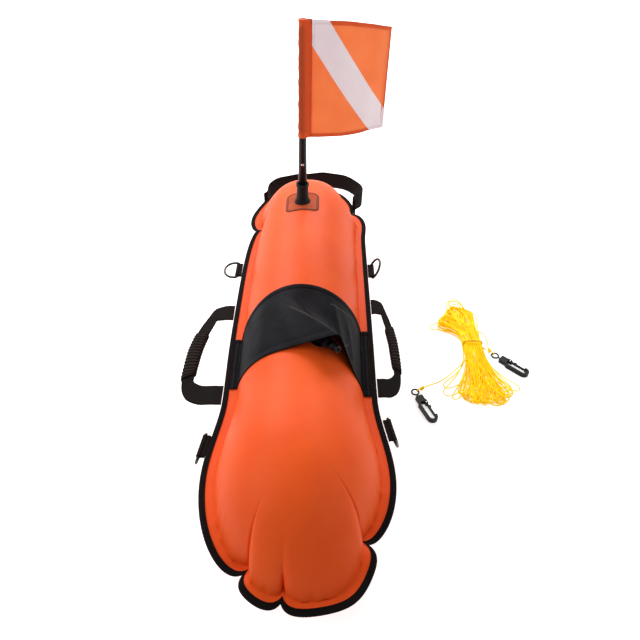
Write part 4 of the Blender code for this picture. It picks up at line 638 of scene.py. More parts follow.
def rib_points(arc, climb, top, fold=0.0):
    """Points of a panel's skin at a share of the way from the weld to the middle line."""
    x_rim, y_rim = rim_place(arc)
    x_out, y_out = rim_outward(arc)
    drawn, lift = pleat_shift(arc)
    fade = np.maximum(1 - climb / PLEAT_REACH, 0.0) ** 2
    x_weld = x_rim - x_out * (weld_inset(arc) + drawn * fade)
    y_weld = y_rim - y_out * (weld_inset(arc) + drawn * fade)
    y_spine = np.clip(y_rim, NOSE_CAP, FLOAT_LENGTH - TAIL_CAP)
    x_spine = axis_x(y_spine)
    angle = LENS_ANGLE + (pi / 2 - LENS_ANGLE) * climb
    reach = np.maximum(np.cos(angle), 0.0) / cos(LENS_ANGLE)
    rise = lens_rise(angle)
    away = np.stack((x_weld - x_spine, y_weld - y_spine))
    away = away / np.maximum(np.linalg.norm(away, axis=0), 1e-6) * np.cos(angle)
    if top:
        z = SEAM_HALF + (side_half_width(y_spine) - FLANGE_WIDTH) * TOP_HEIGHT * rise + lift * fade
        facing = 1.0
    else:
        reach = reach ** 0.7
        z = lift * fade - SEAM_HALF - BELLY_DEPTH * np.minimum(rise / 0.95, 1.0)
        fold = np.where(rise > 0.85, 0.0, np.minimum(fold, 0.0012))
        facing = -1.0
    return np.stack((x_spine + (x_weld - x_spine) * reach + away[0] * fold,
                     y_spine + (y_weld - y_spine) * reach + away[1] * fold,
                     z + facing * np.sin(angle) * fold), axis=-1)


def panel_grid(arcs, top):
    """Points of a panel: columns along the rim, rows from the flange's edge to the middle line."""
    facing = 1.0 if top else -1.0
    ripple = np.abs(puckers(arcs, np.zeros_like(arcs))) * 0.55
    rows = []
    for share in FLANGE_ROWS:
        rise = SEAM_HALF + ripple * eased((share - 0.55) / 0.4)
        rows.append(on_flange(arcs, share * weld_inset(arcs), facing * rise))
    for climb in np.concatenate((np.linspace(0.0, 0.12, 10)[:-1], np.linspace(0.12, 1.0, 30))):
        climb = np.full_like(arcs, climb)
        rows.append(rib_points(arcs, climb, top, puckers(arcs, climb)))
    return np.array(rows)


def woven(finish, shader, scale, distortion, warp_way, mix, strength, depth, below):
    """Raises a weave of weft and warp over the relief below it.

    A thread is 0.314 / scale m wide, about 1 mm at 300. Real thread is finer and wouldn't show.
    """
    place = add_node(finish, "TexCoord").outputs["Object"]
    threads = [add_node(finish, "TexWave", {"bands_direction": way}, Vector=place, Scale=scale,
                        Distortion=distortion).outputs["Fac"] for way in ("X", warp_way)]
    weave = add_node(finish, "Math", {"operation": mix}, i0=threads[0], i1=threads[1])
    bump = add_node(finish, "Bump", Strength=strength, Distance=depth, Height=weave.outputs[0],
                    Normal=below)
    set_inputs(shader, Normal=bump.outputs["Normal"])


def thickened(piece, cloth):
    """Gives a sheet the thickness of its cloth, inward."""
    skin = piece.modifiers.new("cloth", "SOLIDIFY")
    skin.thickness = cloth
    skin.offset = -1.0


# Coated nylon: a satin skin over a fine weave, with soft unevenness where the cloth is drawn.
coated_orange, shader = new_finish("orange coated nylon", "f45b1d", 0.5, Specular_IOR_Level=0.15)
clouded(coated_orange, shader, 14.0, 3.0, ("ee5419", "f45b1d"), (0.30, 0.62), (0.45, 0.58))
soft = grained(coated_orange, shader, 38.0, 2.0, 0.16, 0.0025)
woven(coated_orange, shader, 320.0, 0.3, "Y", "MULTIPLY", 0.22, 0.00012, soft)

arcs = rim_stations(RIM_STEP, CREASE_STEP)
for node, top in (("top_panel", True), ("bottom_panel", False)):
    grid = panel_grid(arcs if top else arcs[::2] if len(arcs) % 2 else arcs, top)
    panel = grid_piece("float_" + node, grid, coated_orange, "float", node, flip=not top)
    thickened(panel, FABRIC)

# The edge binding: a 22 mm black woven tape folded over the welded flange and sewn through both
# sides with one row of black thread, 2.5 mm from its edge.

BINDING_WIDTH = 0.0090
TAPE = 0.0009
STITCH_INSET = 0.0066
BINDING_INSIDE = SEAM_HALF + 0.0006
BINDING_OUTSIDE = BINDING_INSIDE + TAPE


def woven_tape(name, colour, light, across, along):
    """Woven tape: ribs of weft across it; the UV map counts its ribs across and along."""
    finish, shader = new_finish(name, colour, 0.78, Specular_IOR_Level=0.08)
    place = add_node(finish, "TexCoord")
    lay = add_node(finish, "Mapping", Vector=place.outputs["UV"], Scale=(along, across, 1.0))
    threads = [add_node(finish, "TexWave", {"bands_direction": way}, Vector=lay.outputs[0],
                        Scale=1.0, Distortion=0.6, Detail=detail).outputs["Fac"]
               for way, detail in (("X", 2.0), ("Y", 1.0))]
    weave = add_node(finish, "Math", {"operation": "MULTIPLY"}, i0=threads[0], i1=threads[1])
    ramp = add_node(finish, "ValToRGB", Fac=weave.outputs[0])
    ramp.color_ramp.elements[0].color = srgb(colour)
    ramp.color_ramp.elements[1].color = srgb(light)
    bump = add_node(finish, "Bump", Strength=0.6, Distance=0.0003, Height=weave.outputs[0])
    set_inputs(shader, Base_Color=ramp.outputs["Color"], Normal=bump.outputs["Normal"])
    return finish


face = [(BINDING_WIDTH, BINDING_OUTSIDE - 0.0004), (BINDING_WIDTH - 0.0005, BINDING_OUTSIDE),
        (STITCH_INSET + 0.0009, BINDING_OUTSIDE + 0.0001), (STITCH_INSET, BINDING_OUTSIDE - 0.0002),
        (STITCH_INSET - 0.0009, BINDING_OUTSIDE + 0.0001), (0.0045, BINDING_OUTSIDE + 0.0002)]
fold = arc_points((BINDING_OUTSIDE, 0.0), (-BINDING_OUTSIDE, BINDING_OUTSIDE),
                  np.linspace(pi / 2, -pi / 2, 9))
inside = [(BINDING_WIDTH, -BINDING_INSIDE), (TAPE, -BINDING_INSIDE), (TAPE, BINDING_INSIDE),
          (BINDING_WIDTH, BINDING_INSIDE)]
section = face + fold + [(inset, -height) for inset, height in reversed(face)] + inside + face[:1]
grid_piece("binding", [on_flange(arcs, inset, height) for inset, height in section],
           woven_tape("black woven binding tape", "0f0c0d", "1b1816", 14.0, 1500.0), "float", "edge_binding",
           flip=True)

# The band: a sheet of black coated polyester sewn into both side seams and stretched over the
# waist like a tent with the valve under its near edge; both its edges are hemmed and stitched.

BAND_NEAR = (0.352, 0.348, 0.338)
BAND_FAR = (0.464, 0.4985, 0.487)
BAND_FLAT = (0.375, 0.150)
BAND_CLOTH = 0.0007
TENT_NEAR_ANGLE = radians(25)
TENT_FAR_ANGLE = radians(-11)
TENT_SPREAD = radians(48)
TENT_REACH = 0.81
HEM_WIDTH = 0.009
# Soft folds: their angles at both ends, first and last share of the way, width in degrees and height
BAND_FOLDS = ((48, 30, 0.02, 0.95, 5.0, 0.0022), (62, 52, 0.00, 0.80, 3.5, 0.0016),
              (40, 14, 0.10, 1.00, 3.0, 0.0009), (-2, -26, 0.00, 0.90, 7.0, 0.0012),
              (-34, -44, 0.05, 0.95, 9.0, 0.0010), (74, 78, 0.05, 0.95, 3.0, 0.0012))
# Crease ridges that get a painted highlight: both ends of each, and the half width of its mark
BAND_CREASES = (((-0.0055, -0.0703), (0.0700, -0.1587), 0.0018),
                ((0.0700, -0.1587), (0.0943, -0.1086), 0.0012),
                ((0.0620, -0.0488), (0.0999, -0.0406), 0.0022),
                ((0.0999, -0.0406), (0.1200, -0.0700), 0.0014))


def top_skin(across, y):
    """Points of the top panel where its ribs run straight across."""
    arc = np.where(across < 0, -1.0, 1.0) * np.interp(y, half_y, half_arc)
    return rib_points(arc, 1 - np.minimum(np.abs(across), 1.0), True)


def band_points(across, along):
    """Points of the band's underside, across from the left weld at -1 to the right one at 1."""
    near_side = np.where(across > 0, BAND_NEAR[2], BAND_NEAR[0])
    far_side = np.where(across > 0, BAND_FAR[2], BAND_FAR[0])
    share = np.minimum(np.abs(across), 1.0)
    near = BAND_NEAR[1] + (near_side - BAND_NEAR[1]) * share ** 3
    far = BAND_FAR[1] + (far_side - BAND_FAR[1]) * share ** 2
    y = near + (far - near) * along
    skin = top_skin(across, y)
    x = skin[..., 0] - axis_x(y)
    z = skin[..., 2] - SEAM_HALF
    size = np.maximum(np.hypot(x, z), 1e-6)
    angle = np.arctan2(x, z)
    near_share = np.clip(1 - along / TENT_REACH, 0.0, 1.0)
    middle = TENT_FAR_ANGLE + (TENT_NEAR_ANGLE - TENT_FAR_ANGLE) * near_share
    spread = TENT_SPREAD * np.sqrt(near_share)
    way = np.sqrt((angle - middle) ** 2 + radians(1.3) ** 2)
    factor = np.where(way < spread, 1 / np.cos(np.maximum(spread - way, 0.0)), 1.0)
    folds = 0.0
    for turn_near, turn_far, first, last, width, height in BAND_FOLDS:
        line = radians(turn_near) + radians(turn_far - turn_near) * (along - first) / (last - first)
        inside = eased((along - first) / 0.12) * eased((last - along) / 0.25)
        folds = folds + height * inside * np.exp(-((angle - line) / radians(width)) ** 2)
    lifted = size * factor + 0.0004 + folds
    flat = np.abs(across) > 1
    edge = side_half_width(y) - BINDING_WIDTH - 0.0006
    weld = side_half_width(y) - FLANGE_WIDTH
    out = weld + (edge - weld) * (np.abs(across) - 1) / 0.05
    x = np.where(flat, np.sign(across) * out, x / size * lifted)
    z = np.where(flat, 0.0009, z / size * lifted)
    return np.stack((axis_x(y) + x, y, SEAM_HALF + z), axis=-1)


def crease_highlights(finish, place):
    """A mask that is 1 on the lines of the creases, seen from above, and fades at their ends; it places the
    painted highlight.
    """
    marks = None
    for start, end, width in BAND_CREASES:
        way = Vector((end[0] - start[0], end[1] - start[1], 0.0))
        across = Vector((way.y, -way.x, 0.0)).normalized()
        away = add_node(finish, "VectorMath", {"operation": "SUBTRACT"}, i0=place, i1=(*start, 0.0))
        aside, along = (add_node(finish, "VectorMath", {"operation": "DOT_PRODUCT"},
                                 i0=away.outputs[0], i1=tuple(axis)).outputs["Value"]
                        for axis in (across, way / way.length_squared))
        aside = add_node(finish, "Math", {"operation": "ABSOLUTE"}, i0=aside)
        mark = add_node(finish, "MapRange", Value=aside.outputs[0], From_Max=width, To_Min=1.0,
                        To_Max=0.0)
        for limits in ((-0.02, 0.06, 0.0, 1.0), (0.94, 1.02, 1.0, 0.0)):
            end_fade = add_node(finish, "MapRange", Value=along, i1=limits[0], i2=limits[1],
                                i3=limits[2], i4=limits[3])
            mark = add_node(finish, "Math", {"operation": "MULTIPLY"}, i0=mark.outputs[0],
                            i1=end_fade.outputs[0])
        if marks is not None:
            mark = add_node(finish, "Math", {"operation": "MAXIMUM"}, i0=marks, i1=mark.outputs[0])
        marks = mark.outputs[0]
    return marks


# Coated polyester: a dull black cloth, with a painted grey highlight along the ridges of its creases.
band_cloth, shader = new_finish("black coated polyester", "0b090c", 0.52, Specular_IOR_Level=0.045)
tone = clouded(band_cloth, shader, 22.0, 4.0, ("0b090c", "141118"), (0.35, 0.70))
crease_highlight = crease_highlights(band_cloth, add_node(band_cloth, "TexCoord").outputs["Object"])
# Painted highlight: the band's colour is mixed towards grey on the lines of the creases.
highlighted = add_node(band_cloth, "Mix", {"data_type": "RGBA"}, i0=crease_highlight, i6=tone, i7=srgb("3d3936"))
set_inputs(shader, Base_Color=highlighted.outputs[2])
wide = grained(band_cloth, shader, 55.0, 3.0, 0.35, 0.0025)
woven(band_cloth, shader, 300.0, 0.4, "Y", "MULTIPLY", 0.3, 0.00015, wide)

across = np.concatenate(([-1.05, -1.03, -1.015], np.linspace(-1.0, 1.0, 121), [1.015, 1.03, 1.05]))
hem = HEM_WIDTH / BAND_FLAT[1]
hem_rows = np.array([0.0, 0.004, 0.5 * hem, 0.80 * hem, 0.86 * hem, 0.92 * hem, 1.0 * hem, 1.06 * hem])
hem_lift = (0.0005, 0.0006, 0.0006, 0.0006, 0.0003, 0.0006, 0.0005, 0.0)
along = np.concatenate((hem_rows, np.linspace(1.3 * hem, 1 - 1.3 * hem, 34), 1 - hem_rows[::-1]))
extra = np.interp(np.minimum(along, 1 - along), hem_rows, hem_lift)
grid_across, grid_along = np.meshgrid(across, along)
under = band_points(grid_across, grid_along)
lean = under - np.stack((axis_x(under[..., 1]), under[..., 1], np.full(under.shape[:2], SEAM_HALF)), axis=-1)
lean[..., 2] += np.where(np.abs(grid_across) > 1, 1.0, 0.0)
lean /= np.linalg.norm(lean, axis=-1, keepdims=True)
over = under + lean * (BAND_CLOTH + extra)[:, None, None]
band = grid_piece("band", np.concatenate((under, over[::-1], under[:1])), band_cloth, "float", "centre_band",
                  closed=True)

# The oral valve: a soft rubber stem on a foot welded to the dome, bent over to lie under the band's
# near edge. A knurled plastic ring turns on it, and a ribbed mouthpiece is pressed in to open it.

VALVE_PLACE = (0.030, 0.373)
VALVE_SEAT_Z = 0.09302
FOOT_RINGS = ((0.0, 0.0003), (0.0139, 0.0003), (0.0140, 0.0006), (0.0132, 0.0010), (0.0090, 0.0014),
              (0.0076, 0.0022), (0.0070, 0.0024), (0.0, 0.0024))
STEM_START = Vector((0.03087, 0.373, 0.09579))
STEM_SUNK = 0.0006
STEM_RADIUS = 0.0068
STEM_BORE = 0.0056
BARREL_LENGTH = 0.018
BARREL_BEND = 0.0055
VALVE_AIM = Vector((0.640, -0.750, 0.090)).normalized()
COLLAR_BORE = STEM_RADIUS + 0.0003
COLLAR_SIDES = 168
COLLAR_BACK = 0.0113
# Radius and height of each row of the collar, and the share of the knurl that is cut into it
COLLAR_ROWS = ((COLLAR_BORE, 0.0, 0.0), (0.0084, 0.0, 0.0), (0.0090, 0.0003, 0.3), (0.0096, 0.0010, 1.0),
               (0.0097, 0.0016, 1.0), (0.0097, 0.0079, 1.0), (0.0096, 0.0085, 1.0), (0.0090, 0.0092, 0.3),
               (0.0084, 0.0095, 0.0), (COLLAR_BORE, 0.0095, 0.0), (COLLAR_BORE, 0.0, 0.0))
KNURL_DEPTH = 0.0007
KNURLS = 28
MOUTH_BACK = 0.0048
MOUTH_RADIUS = 0.0066
# The mouthpiece's plunger and rim, then its ribs as shares of its radius and heights
MOUTH_RIBS = ((0.80, MOUTH_BACK + 0.0058), (0.80, MOUTH_BACK + 0.0070), (0.92, MOUTH_BACK + 0.0074),
              (0.92, MOUTH_BACK + 0.0082), (0.80, MOUTH_BACK + 0.0086), (0.80, MOUTH_BACK + 0.0096),
              (0.93, MOUTH_BACK + 0.0103), (0.93, 0.0180), (0.84, 0.0188), (0.55, 0.0190), (0.48, 0.0186),
              (0.45, 0.0095))
MOUTH_ROWS = ((0.0, -0.0068), (0.0050, -0.0068), (0.0053, -0.0062), (0.0053, MOUTH_BACK),
              (MOUTH_RADIUS - 0.0004, MOUTH_BACK), (MOUTH_RADIUS, MOUTH_BACK + 0.0004),
              (MOUTH_RADIUS, MOUTH_BACK + 0.0048), (MOUTH_RADIUS - 0.0003, MOUTH_BACK + 0.0052),
              *((MOUTH_RADIUS * share, height) for share, height in MOUTH_RIBS), (0.0, 0.0095))


def dome_height(x, y):
    """Height of the smooth top panel in the middle part of the float."""
    weld = side_half_width(y) - FLANGE_WIDTH
    angle = np.arccos(np.clip((x - axis_x(y)) / weld * cos(LENS_ANGLE), -1.0, 1.0))
    return SEAM_HALF + weld * TOP_HEIGHT * lens_rise(angle)


def disc_on_dome(name, x, y, rings, sides, material, node, amount=None):
    """A thin piece welded to the dome; each ring has a reach in every direction and a height."""
    angles = whole_turn(sides)
    rows = []
    for reach, lift in rings:
        place_x, place_y = x + reach * np.cos(angles), y + reach * np.sin(angles)
        rows.append(np.stack((place_x, place_y, dome_height(place_x, place_y) + lift), axis=-1))
    grid_piece(name, rows, material, "float", node, closed=True, amount=amount)


valve_rubber = moulded("black valve rubber", "0e0d0e", "1d1b1c", 0.5)
valve_plastic = moulded("black valve plastic", "0c0b0d", "1c1a20", 0.33)
disc_on_dome("valve_base", *VALVE_PLACE, FOOT_RINGS, 48, valve_rubber, "valve_foot")

valve_normal = Vector((VALVE_PLACE[0] - float(axis_x(VALVE_PLACE[1])), 0.0, VALVE_SEAT_Z)).normalized()
stem_start = STEM_START - valve_normal * STEM_SUNK
bend_corner = stem_start + valve_normal * (BARREL_BEND + STEM_SUNK)
barrel_start = bend_corner + VALVE_AIM * BARREL_BEND
barrel_end = barrel_start + VALVE_AIM * BARREL_LENGTH
square = valve_normal.cross(VALVE_AIM).normalized()
path = []
for share in np.linspace(0.0, 1.0, 13):
    place = stem_start.lerp(bend_corner, share).lerp(bend_corner.lerp(barrel_start, share), share)
    path.append((place, valve_normal.lerp(VALVE_AIM, share).normalized()))
path += [(barrel_start.lerp(barrel_end, share), VALVE_AIM) for share in (0.3, 0.9, 0.975, 1.0)]
# Out along the stem's skin, which is flared where it leaves the foot, and back along its bore
radii = [STEM_RADIUS + 0.0012, STEM_RADIUS + 0.0004] + [STEM_RADIUS] * (len(path) - 3)
radii += [STEM_RADIUS - 0.0004] + [STEM_BORE] * len(path) + radii[:1]
rows = [[place + (square * cos(turn) + aim.cross(square) * sin(turn)) * radius
         for turn in whole_turn(40)]
        for (place, aim), radius in zip(path + path[::-1] + path[:1], radii)]
grid_piece("valve_tube", rows, valve_rubber, "float", "valve_stem", flip=True)

collar_start = barrel_end - VALVE_AIM * COLLAR_BACK
grid = turned_grid([row[:2] for row in COLLAR_ROWS], collar_start, VALVE_AIM, COLLAR_SIDES)
turns = whole_turn(COLLAR_SIDES)
knurl = KNURL_DEPTH * (0.5 - 0.5 * np.cos(turns * KNURLS)) ** 0.7
middle_line = np.array(collar_start) + np.outer([row[1] for row in COLLAR_ROWS], np.array(VALVE_AIM))
away = grid - middle_line[:, None, :]
away /= np.linalg.norm(away, axis=-1, keepdims=True)
grid -= away * (np.array([row[2] for row in COLLAR_ROWS])[:, None] * knurl[None, :])[..., None]
grid_piece("valve_collar", grid, valve_plastic, "valve_lock", "valve_lock_ring", flip=True)
grid_piece("valve_mouth", turned_grid(MOUTH_ROWS, barrel_end, VALVE_AIM), valve_plastic, "mouthpiece",
           "valve_mouthpiece", closed=True)

# The mast: a tapered black tube pinned on a foot plug in a rubber socket, which is welded to the
# tail through a clear patch. The tube pulls out of the socket for stowing.

MAST_PLACE = Vector((-0.0055, 0.7615, 0.100324))
MAST_LEAN = radians(1.2)
MAST_AIM = Vector((sin(MAST_LEAN), 0.0, cos(MAST_LEAN)))
MAST_RADII = ((0.0, 0.0090), (0.136, 0.0070), (0.337, 0.0060))
MAST_WALL = 0.0015
FLAG_BOTTOM = 0.136
FLAG_TOP = 0.337
MAST_FOOT = 0.0045
MAST_END = FLAG_TOP - 0.004
PIN_HEIGHT = 0.083
PATCH_HALF = 0.033
PATCH_ROUND = 0.012
SKIRT_HEIGHTS = (0.0012, 0.0019, 0.0030)
SOCKET_ROWS = ((0.0158, 0.0002), (0.0157, 0.0010), (0.0152, 0.0022), (0.0140, 0.0036), (0.0124, 0.0070),
               (0.0118, 0.0110), (0.0115, 0.0180), (0.0113, 0.0300), (0.0113, 0.0335), (0.0122, 0.0341),
               (0.0126, 0.0346), (0.0126, 0.0394), (0.0122, 0.0400), (0.0097, 0.0400), (0.0094, 0.0397),
               (0.0093, MAST_FOOT), (0.0, 0.0042))


def mast_radius(height):
    """The mast's radius at a height over its foot."""
    return float(np.interp(height, *zip(*MAST_RADII)))


# The clear patch: a soft film that shows the orange through it, darker at its raised rim.
patch_film, shader = new_finish("clear welded film", "a54427", 0.55, Specular_IOR_Level=0.05)
tone = clouded(patch_film, shader, 30.0, 3.0, ("b04a28", "c45733"), (0.35, 0.70))
rim_mark = add_node(patch_film, "Attribute", {"attribute_name": "amount"})
edged = add_node(patch_film, "Mix", {"data_type": "RGBA"}, i0=rim_mark.outputs["Fac"], i6=tone,
                 i7=srgb("86402a"))
set_inputs(shader, Base_Color=edged.outputs[2])
grained(patch_film, shader, 30.0, 3.0, 0.10, 0.001)

# The patch is a square with round corners. Each ring is a share of its reach, less an inset, and a
# height; the five rings at its edge make the raised rim.
angles = whole_turn(96)
near, far = np.abs(np.cos(angles)), np.abs(np.sin(angles))
flat = PATCH_HALF - PATCH_ROUND
straight = PATCH_HALF / np.maximum(near, far)
inner = flat * (near + far)
round_reach = inner + np.sqrt(np.maximum(inner ** 2 - 2 * flat ** 2 + PATCH_ROUND ** 2, 0.0))
patch_reach = np.where(straight * np.minimum(near, far) > flat, round_reach, straight)
rings = [(share, 0.0, 0.0003) for share in (0.0, 0.3, 0.6, 0.9)]
rings += [(1.0, 0.0, 0.0003), (1.0, 0.0, 0.0007), (1.0, 0.0004, 0.0010), (1.0, 0.0048, 0.0011),
          (1.0, 0.0054, 0.0009), (1.0, 0.0060, 0.0009)]
rings += [(share, 0.0, 0.0009) for share in (0.65, 0.45, 0.2, 0.0)]
edge_tone = np.zeros((len(rings), len(angles)))
edge_tone[4:9] = 1.0
disc_on_dome("mast_film", MAST_PLACE.x, MAST_PLACE.y,
             [(np.maximum(patch_reach * share - less, 0.0), lift) for share, less, lift in rings],
             len(angles) - 1, patch_film, "mast_patch", edge_tone)

# The socket's skirt lies on the dome, and its foot is closed by a point on the patch.
grid = turned_grid(SOCKET_ROWS, MAST_PLACE, MAST_AIM, 64)
for row, lift in enumerate(SKIRT_HEIGHTS):
    skirt = dome_height(grid[row, :, 0], grid[row, :, 1]) + lift
    grid[row, :, 2] = np.minimum(grid[row, :, 2], skirt)
middle = grid[:1].mean(axis=1, keepdims=True)
middle[..., 2] = dome_height(middle[..., 0], middle[..., 1]) + SKIRT_HEIGHTS[0]
grid_piece("mast_holder", np.concatenate((np.broadcast_to(middle, grid[:1].shape), grid)),
           moulded("black socket rubber", "100f0f", "201d1c", 0.55), "float", "mast_socket", closed=True)

mast_plastic = moulded("black mast tube", "0f0d0e", "1d191b", 0.36)
tube_rows = [(mast_radius(height), height) for height in (MAST_FOOT, FLAG_BOTTOM, MAST_END)]
tube_rows += [(mast_radius(height) - MAST_WALL, height) for height in (MAST_END, MAST_FOOT)]
tube_rows = rounded(tube_rows + tube_rows[:1], 0.0004)
grid_piece("mast_pole", turned_grid(tube_rows, MAST_PLACE, MAST_AIM, 48), mast_plastic, "mast", "mast_tube",
           flip=True)
smoothed_copy("mast_foot_plug", "mast_plug", mast_plastic, "mast", 0.0003)
pin_reach = mast_radius(PIN_HEIGHT) + 0.0003
pin_rows = ((0.0, -pin_reach - 0.0001), (0.0015, -pin_reach), (0.0019, 0.0006 - pin_reach),
            (0.0019, pin_reach), (0.0026, pin_reach), (0.0028, pin_reach + 0.0003),
            (0.0024, pin_reach + 0.0008), (0.0012, pin_reach + 0.00105), (0.0, pin_reach + 0.0011))
grid_piece("mast_rivet", turned_grid(pin_rows, MAST_PLACE + MAST_AIM * PIN_HEIGHT, (0, -1, 0), 24), steel,
           "mast", "mast_pin", closed=True)
smoothed_copy("mast_cap", "mast_lid", mast_plastic, "mast", 0.0004)

# The flag: a field of orange flag nylon with a white strip sewn across it corner to corner, sewn
# at its hoist to a sleeve that slips over the mast and is closed at its top. The three free edges
# are hemmed, and the breeze has left the fly curled away.

FLAG_CLOTH = 0.0007
SLEEVE_ROOM = 0.0012
SEAM_X = 0.0155
SEAM_HALF_THICKNESS = 0.0013
FIELD_START = SEAM_X + 0.0003
FLY_X = 0.152
FLAG_CURL = 0.068
FLAG_DROOP = 0.027
FLAG_RISE = -0.008
STRIPE_HALF = 0.2


def flag_points(across, up):
    """The middle of the field's cloth: across from the sleeve to the fly, up from its bottom edge."""
    height = FLAG_TOP - FLAG_BOTTOM - (FLAG_DROOP + FLAG_RISE) * across ** 2
    ripple = 0.0016 * np.sin(9.0 * across + 3.2 * up + 0.4) * eased(across / 0.35)
    ripple = ripple + 0.0011 * np.sin(17.0 * across - 5.0 * up) * eased((across - 0.3) / 0.5)
    ripple = ripple + 0.0007 * np.sin(31.0 * up + 4.0 * across) * np.exp(-(across / 0.10) ** 2)
    return np.stack((FIELD_START + (FLY_X - FIELD_START) * across, FLAG_CURL * across ** 2 + ripple,
                     FLAG_BOTTOM + FLAG_RISE * across ** 2 + height * up), axis=-1)


def on_mast(points):
    """Moves points from the mast's own frame into the float's measures."""
    return points @ np.array(Matrix.Rotation(MAST_LEAN, 3, "Y")).T + np.array(MAST_PLACE)


def cloth_piece(name, middle, half_thickness, material, hems, *nodes):
    """A closed cloth on the flag, of a given half thickness on both sides of a grid of points."""
    hems = np.broadcast_to(hems, middle.shape[:2])
    square = np.cross(np.gradient(middle, axis=1), np.gradient(middle, axis=0))
    square /= np.maximum(np.linalg.norm(square, axis=-1, keepdims=True), 1e-12)
    half = square * np.broadcast_to(half_thickness, middle.shape[:2])[..., None]
    points = np.concatenate((middle - half, (middle + half)[::-1], (middle - half)[:1]))
    return grid_piece(name, points, material, "flag", *nodes, closed=True,
                      amount=np.concatenate((hems, hems[::-1], hems[:1])))


def flag_nylon(name, colour, light, doubled, passing, painted_glow=0.0):
    """Flag nylon: a thin plain weave, deeper in colour where the cloth lies double and where mast shade is
    painted.

    Light passes through it to its far side, and white cloth gets a little white emission, a painted glow
    that lightens it.
    """
    finish, shader = new_finish(name, colour, 0.62, Specular_IOR_Level=0.25, Sheen_Weight=0.12,
                                Sheen_Roughness=0.5, Emission_Strength=painted_glow)
    tone = clouded(finish, shader, 18.0, 4.0, (colour, light), (0.35, 0.68))
    layers = add_node(finish, "Attribute", {"attribute_name": "amount"})
    deeper = add_node(finish, "Mix", {"data_type": "RGBA"}, i0=layers.outputs["Fac"], i6=tone,
                      i7=srgb(doubled))
    set_inputs(shader, Base_Color=deeper.outputs[2])
    drape = grained(finish, shader, 48.0, 2.0, 0.22, 0.002)
    woven(finish, shader, 260.0, 0.5, "Z", "ADD", 0.35, 0.00015, drape)
    through = add_node(finish, "BsdfTranslucent", Color=deeper.outputs[2])
    mixed = add_node(finish, "MixShader", i0=passing, i1=shader.outputs[0], i2=through.outputs[0])
    set_inputs(finish.node_tree.nodes["Material Output"], Surface=mixed.outputs[0])
    return finish


def from_edge(share):
    """How far a share from 0 to 1 is from the nearer end."""
    return np.minimum(share, 1 - share)


orange_flag = flag_nylon("orange flag nylon", "f49e62", "f8a86e", "e0743e", 0.42)
# The white strip's emission is a painted glow that keeps it bright.
white_flag = flag_nylon("white flag nylon", "f8ecf4", "fff6fc", "e6d2da", 0.12, 0.14)
sleeve_nylon = flag_nylon("doubled orange flag nylon", "ff7436", "ff7a3a", "d65c30", 0.42)

field_across = np.concatenate(([-0.02, 0.0, 0.012, 0.03], np.linspace(0.05, 0.93, 44),
                               [0.945, 0.955, 0.985, 1.0]))
field_up = np.concatenate(([0.0, 0.010, 0.030, 0.040], np.linspace(0.06, 0.94, 50),
                           [0.960, 0.970, 0.990, 1.0]))
hem_half = (0.0010, 0.0011, 0.0010, FLAG_CLOTH / 2)
far_half = np.interp(from_edge(field_up), (0.0, 0.010, 0.030, 0.0401), hem_half)
fly_half = np.interp(1 - field_across, (0.0, 0.015, 0.045, 0.0551), hem_half)
hems = np.maximum((from_edge(field_up) < 0.035)[:, None], (1 - field_across < 0.02)[None, :]).astype(float)
field = cloth_piece("flag_field", on_mast(flag_points(*np.meshgrid(field_across, field_up))),
                    np.maximum(far_half[:, None], fly_half[None, :]), orange_flag, hems,
                    "flag_field_upper", "flag_field_lower")

# The white strip lies on both faces of the field, sewn down with a row of thread at each side.
strip_share = np.concatenate(([-1.0, -0.97, -0.90, -0.86, -0.82], np.linspace(-0.7, 0.7, 11),
                              [0.82, 0.86, 0.90, 0.97, 1.0]))
strip_puff = np.interp(np.abs(strip_share), (0.0, 0.82, 0.86, 0.90, 0.97, 1.0),
                       (0.0009, 0.0009, 0.00055, 0.0009, 0.0009, 0.0006))
strip_along = np.concatenate(([-0.004, 0.012, 0.030, 0.036], np.linspace(0.05, 0.95, 64),
                              [0.964, 0.970, 0.988, 1.004]))
end_rise = np.interp(from_edge(strip_along), (-0.004, 0.012, 0.032, 0.04), (0.0006, 0.0007, 0.0006, 0.0))
grid_share, grid_along = np.meshgrid(strip_share, strip_along)
total = 1 + STRIPE_HALF * grid_share
across = np.clip(total - 1, 0, 1) + (np.clip(total, 0, 1) - np.clip(total - 1, 0, 1)) * grid_along
seams = (from_edge(strip_along) < 0.033) & (from_edge(strip_along) > 0.027)
strip = cloth_piece("flag_strip", on_mast(flag_points(across, total - across)),
                    strip_puff[None, :] + end_rise[:, None], white_flag, seams[:, None].astype(float),
                    "flag_stripe")

# The sleeve: doubled cloth round the mast, stitched together beside it.
levels = np.concatenate(([FLAG_BOTTOM, FLAG_BOTTOM + 0.001, FLAG_BOTTOM + 0.006, FLAG_BOTTOM + 0.008],
                         np.linspace(FLAG_BOTTOM + 0.014, FLAG_TOP - 0.006, 34),
                         [FLAG_TOP - 0.002, FLAG_TOP + 0.0004, FLAG_TOP + 0.0008]))
angles = np.radians(np.linspace(40, 320, 33))
seam = [(SEAM_X, SEAM_HALF_THICKNESS), (SEAM_X - 0.0018, SEAM_HALF_THICKNESS * 0.75),
        (SEAM_X - 0.0030, SEAM_HALF_THICKNESS * 1.1)]
rows = []
for number, level in enumerate(levels):
    crumple = 0.00035 * np.sin(level * 310 + 3 * angles) + 0.0003 * np.sin(level * 170 - 2 * angles)
    radius = mast_radius(level) + SLEEVE_ROOM + (0.0005 if number in (1, 2) else 0.0) + crumple
    radius = radius * (0.90 if number == len(levels) - 1 else 1.0)
    outline = seam + [(ring * cos(angle), ring * sin(angle)) for ring, angle in zip(radius, angles)]
    outline += [(x, -y) for x, y in reversed(seam)] + seam[:1]
    rows.append([(x, y, level) for x, y in outline])
points = on_mast(np.array(rows))
top_middle = points[-1:].mean(axis=1, keepdims=True)
points = np.concatenate((points, top_middle + (points[-1:] - top_middle) * 0.02))
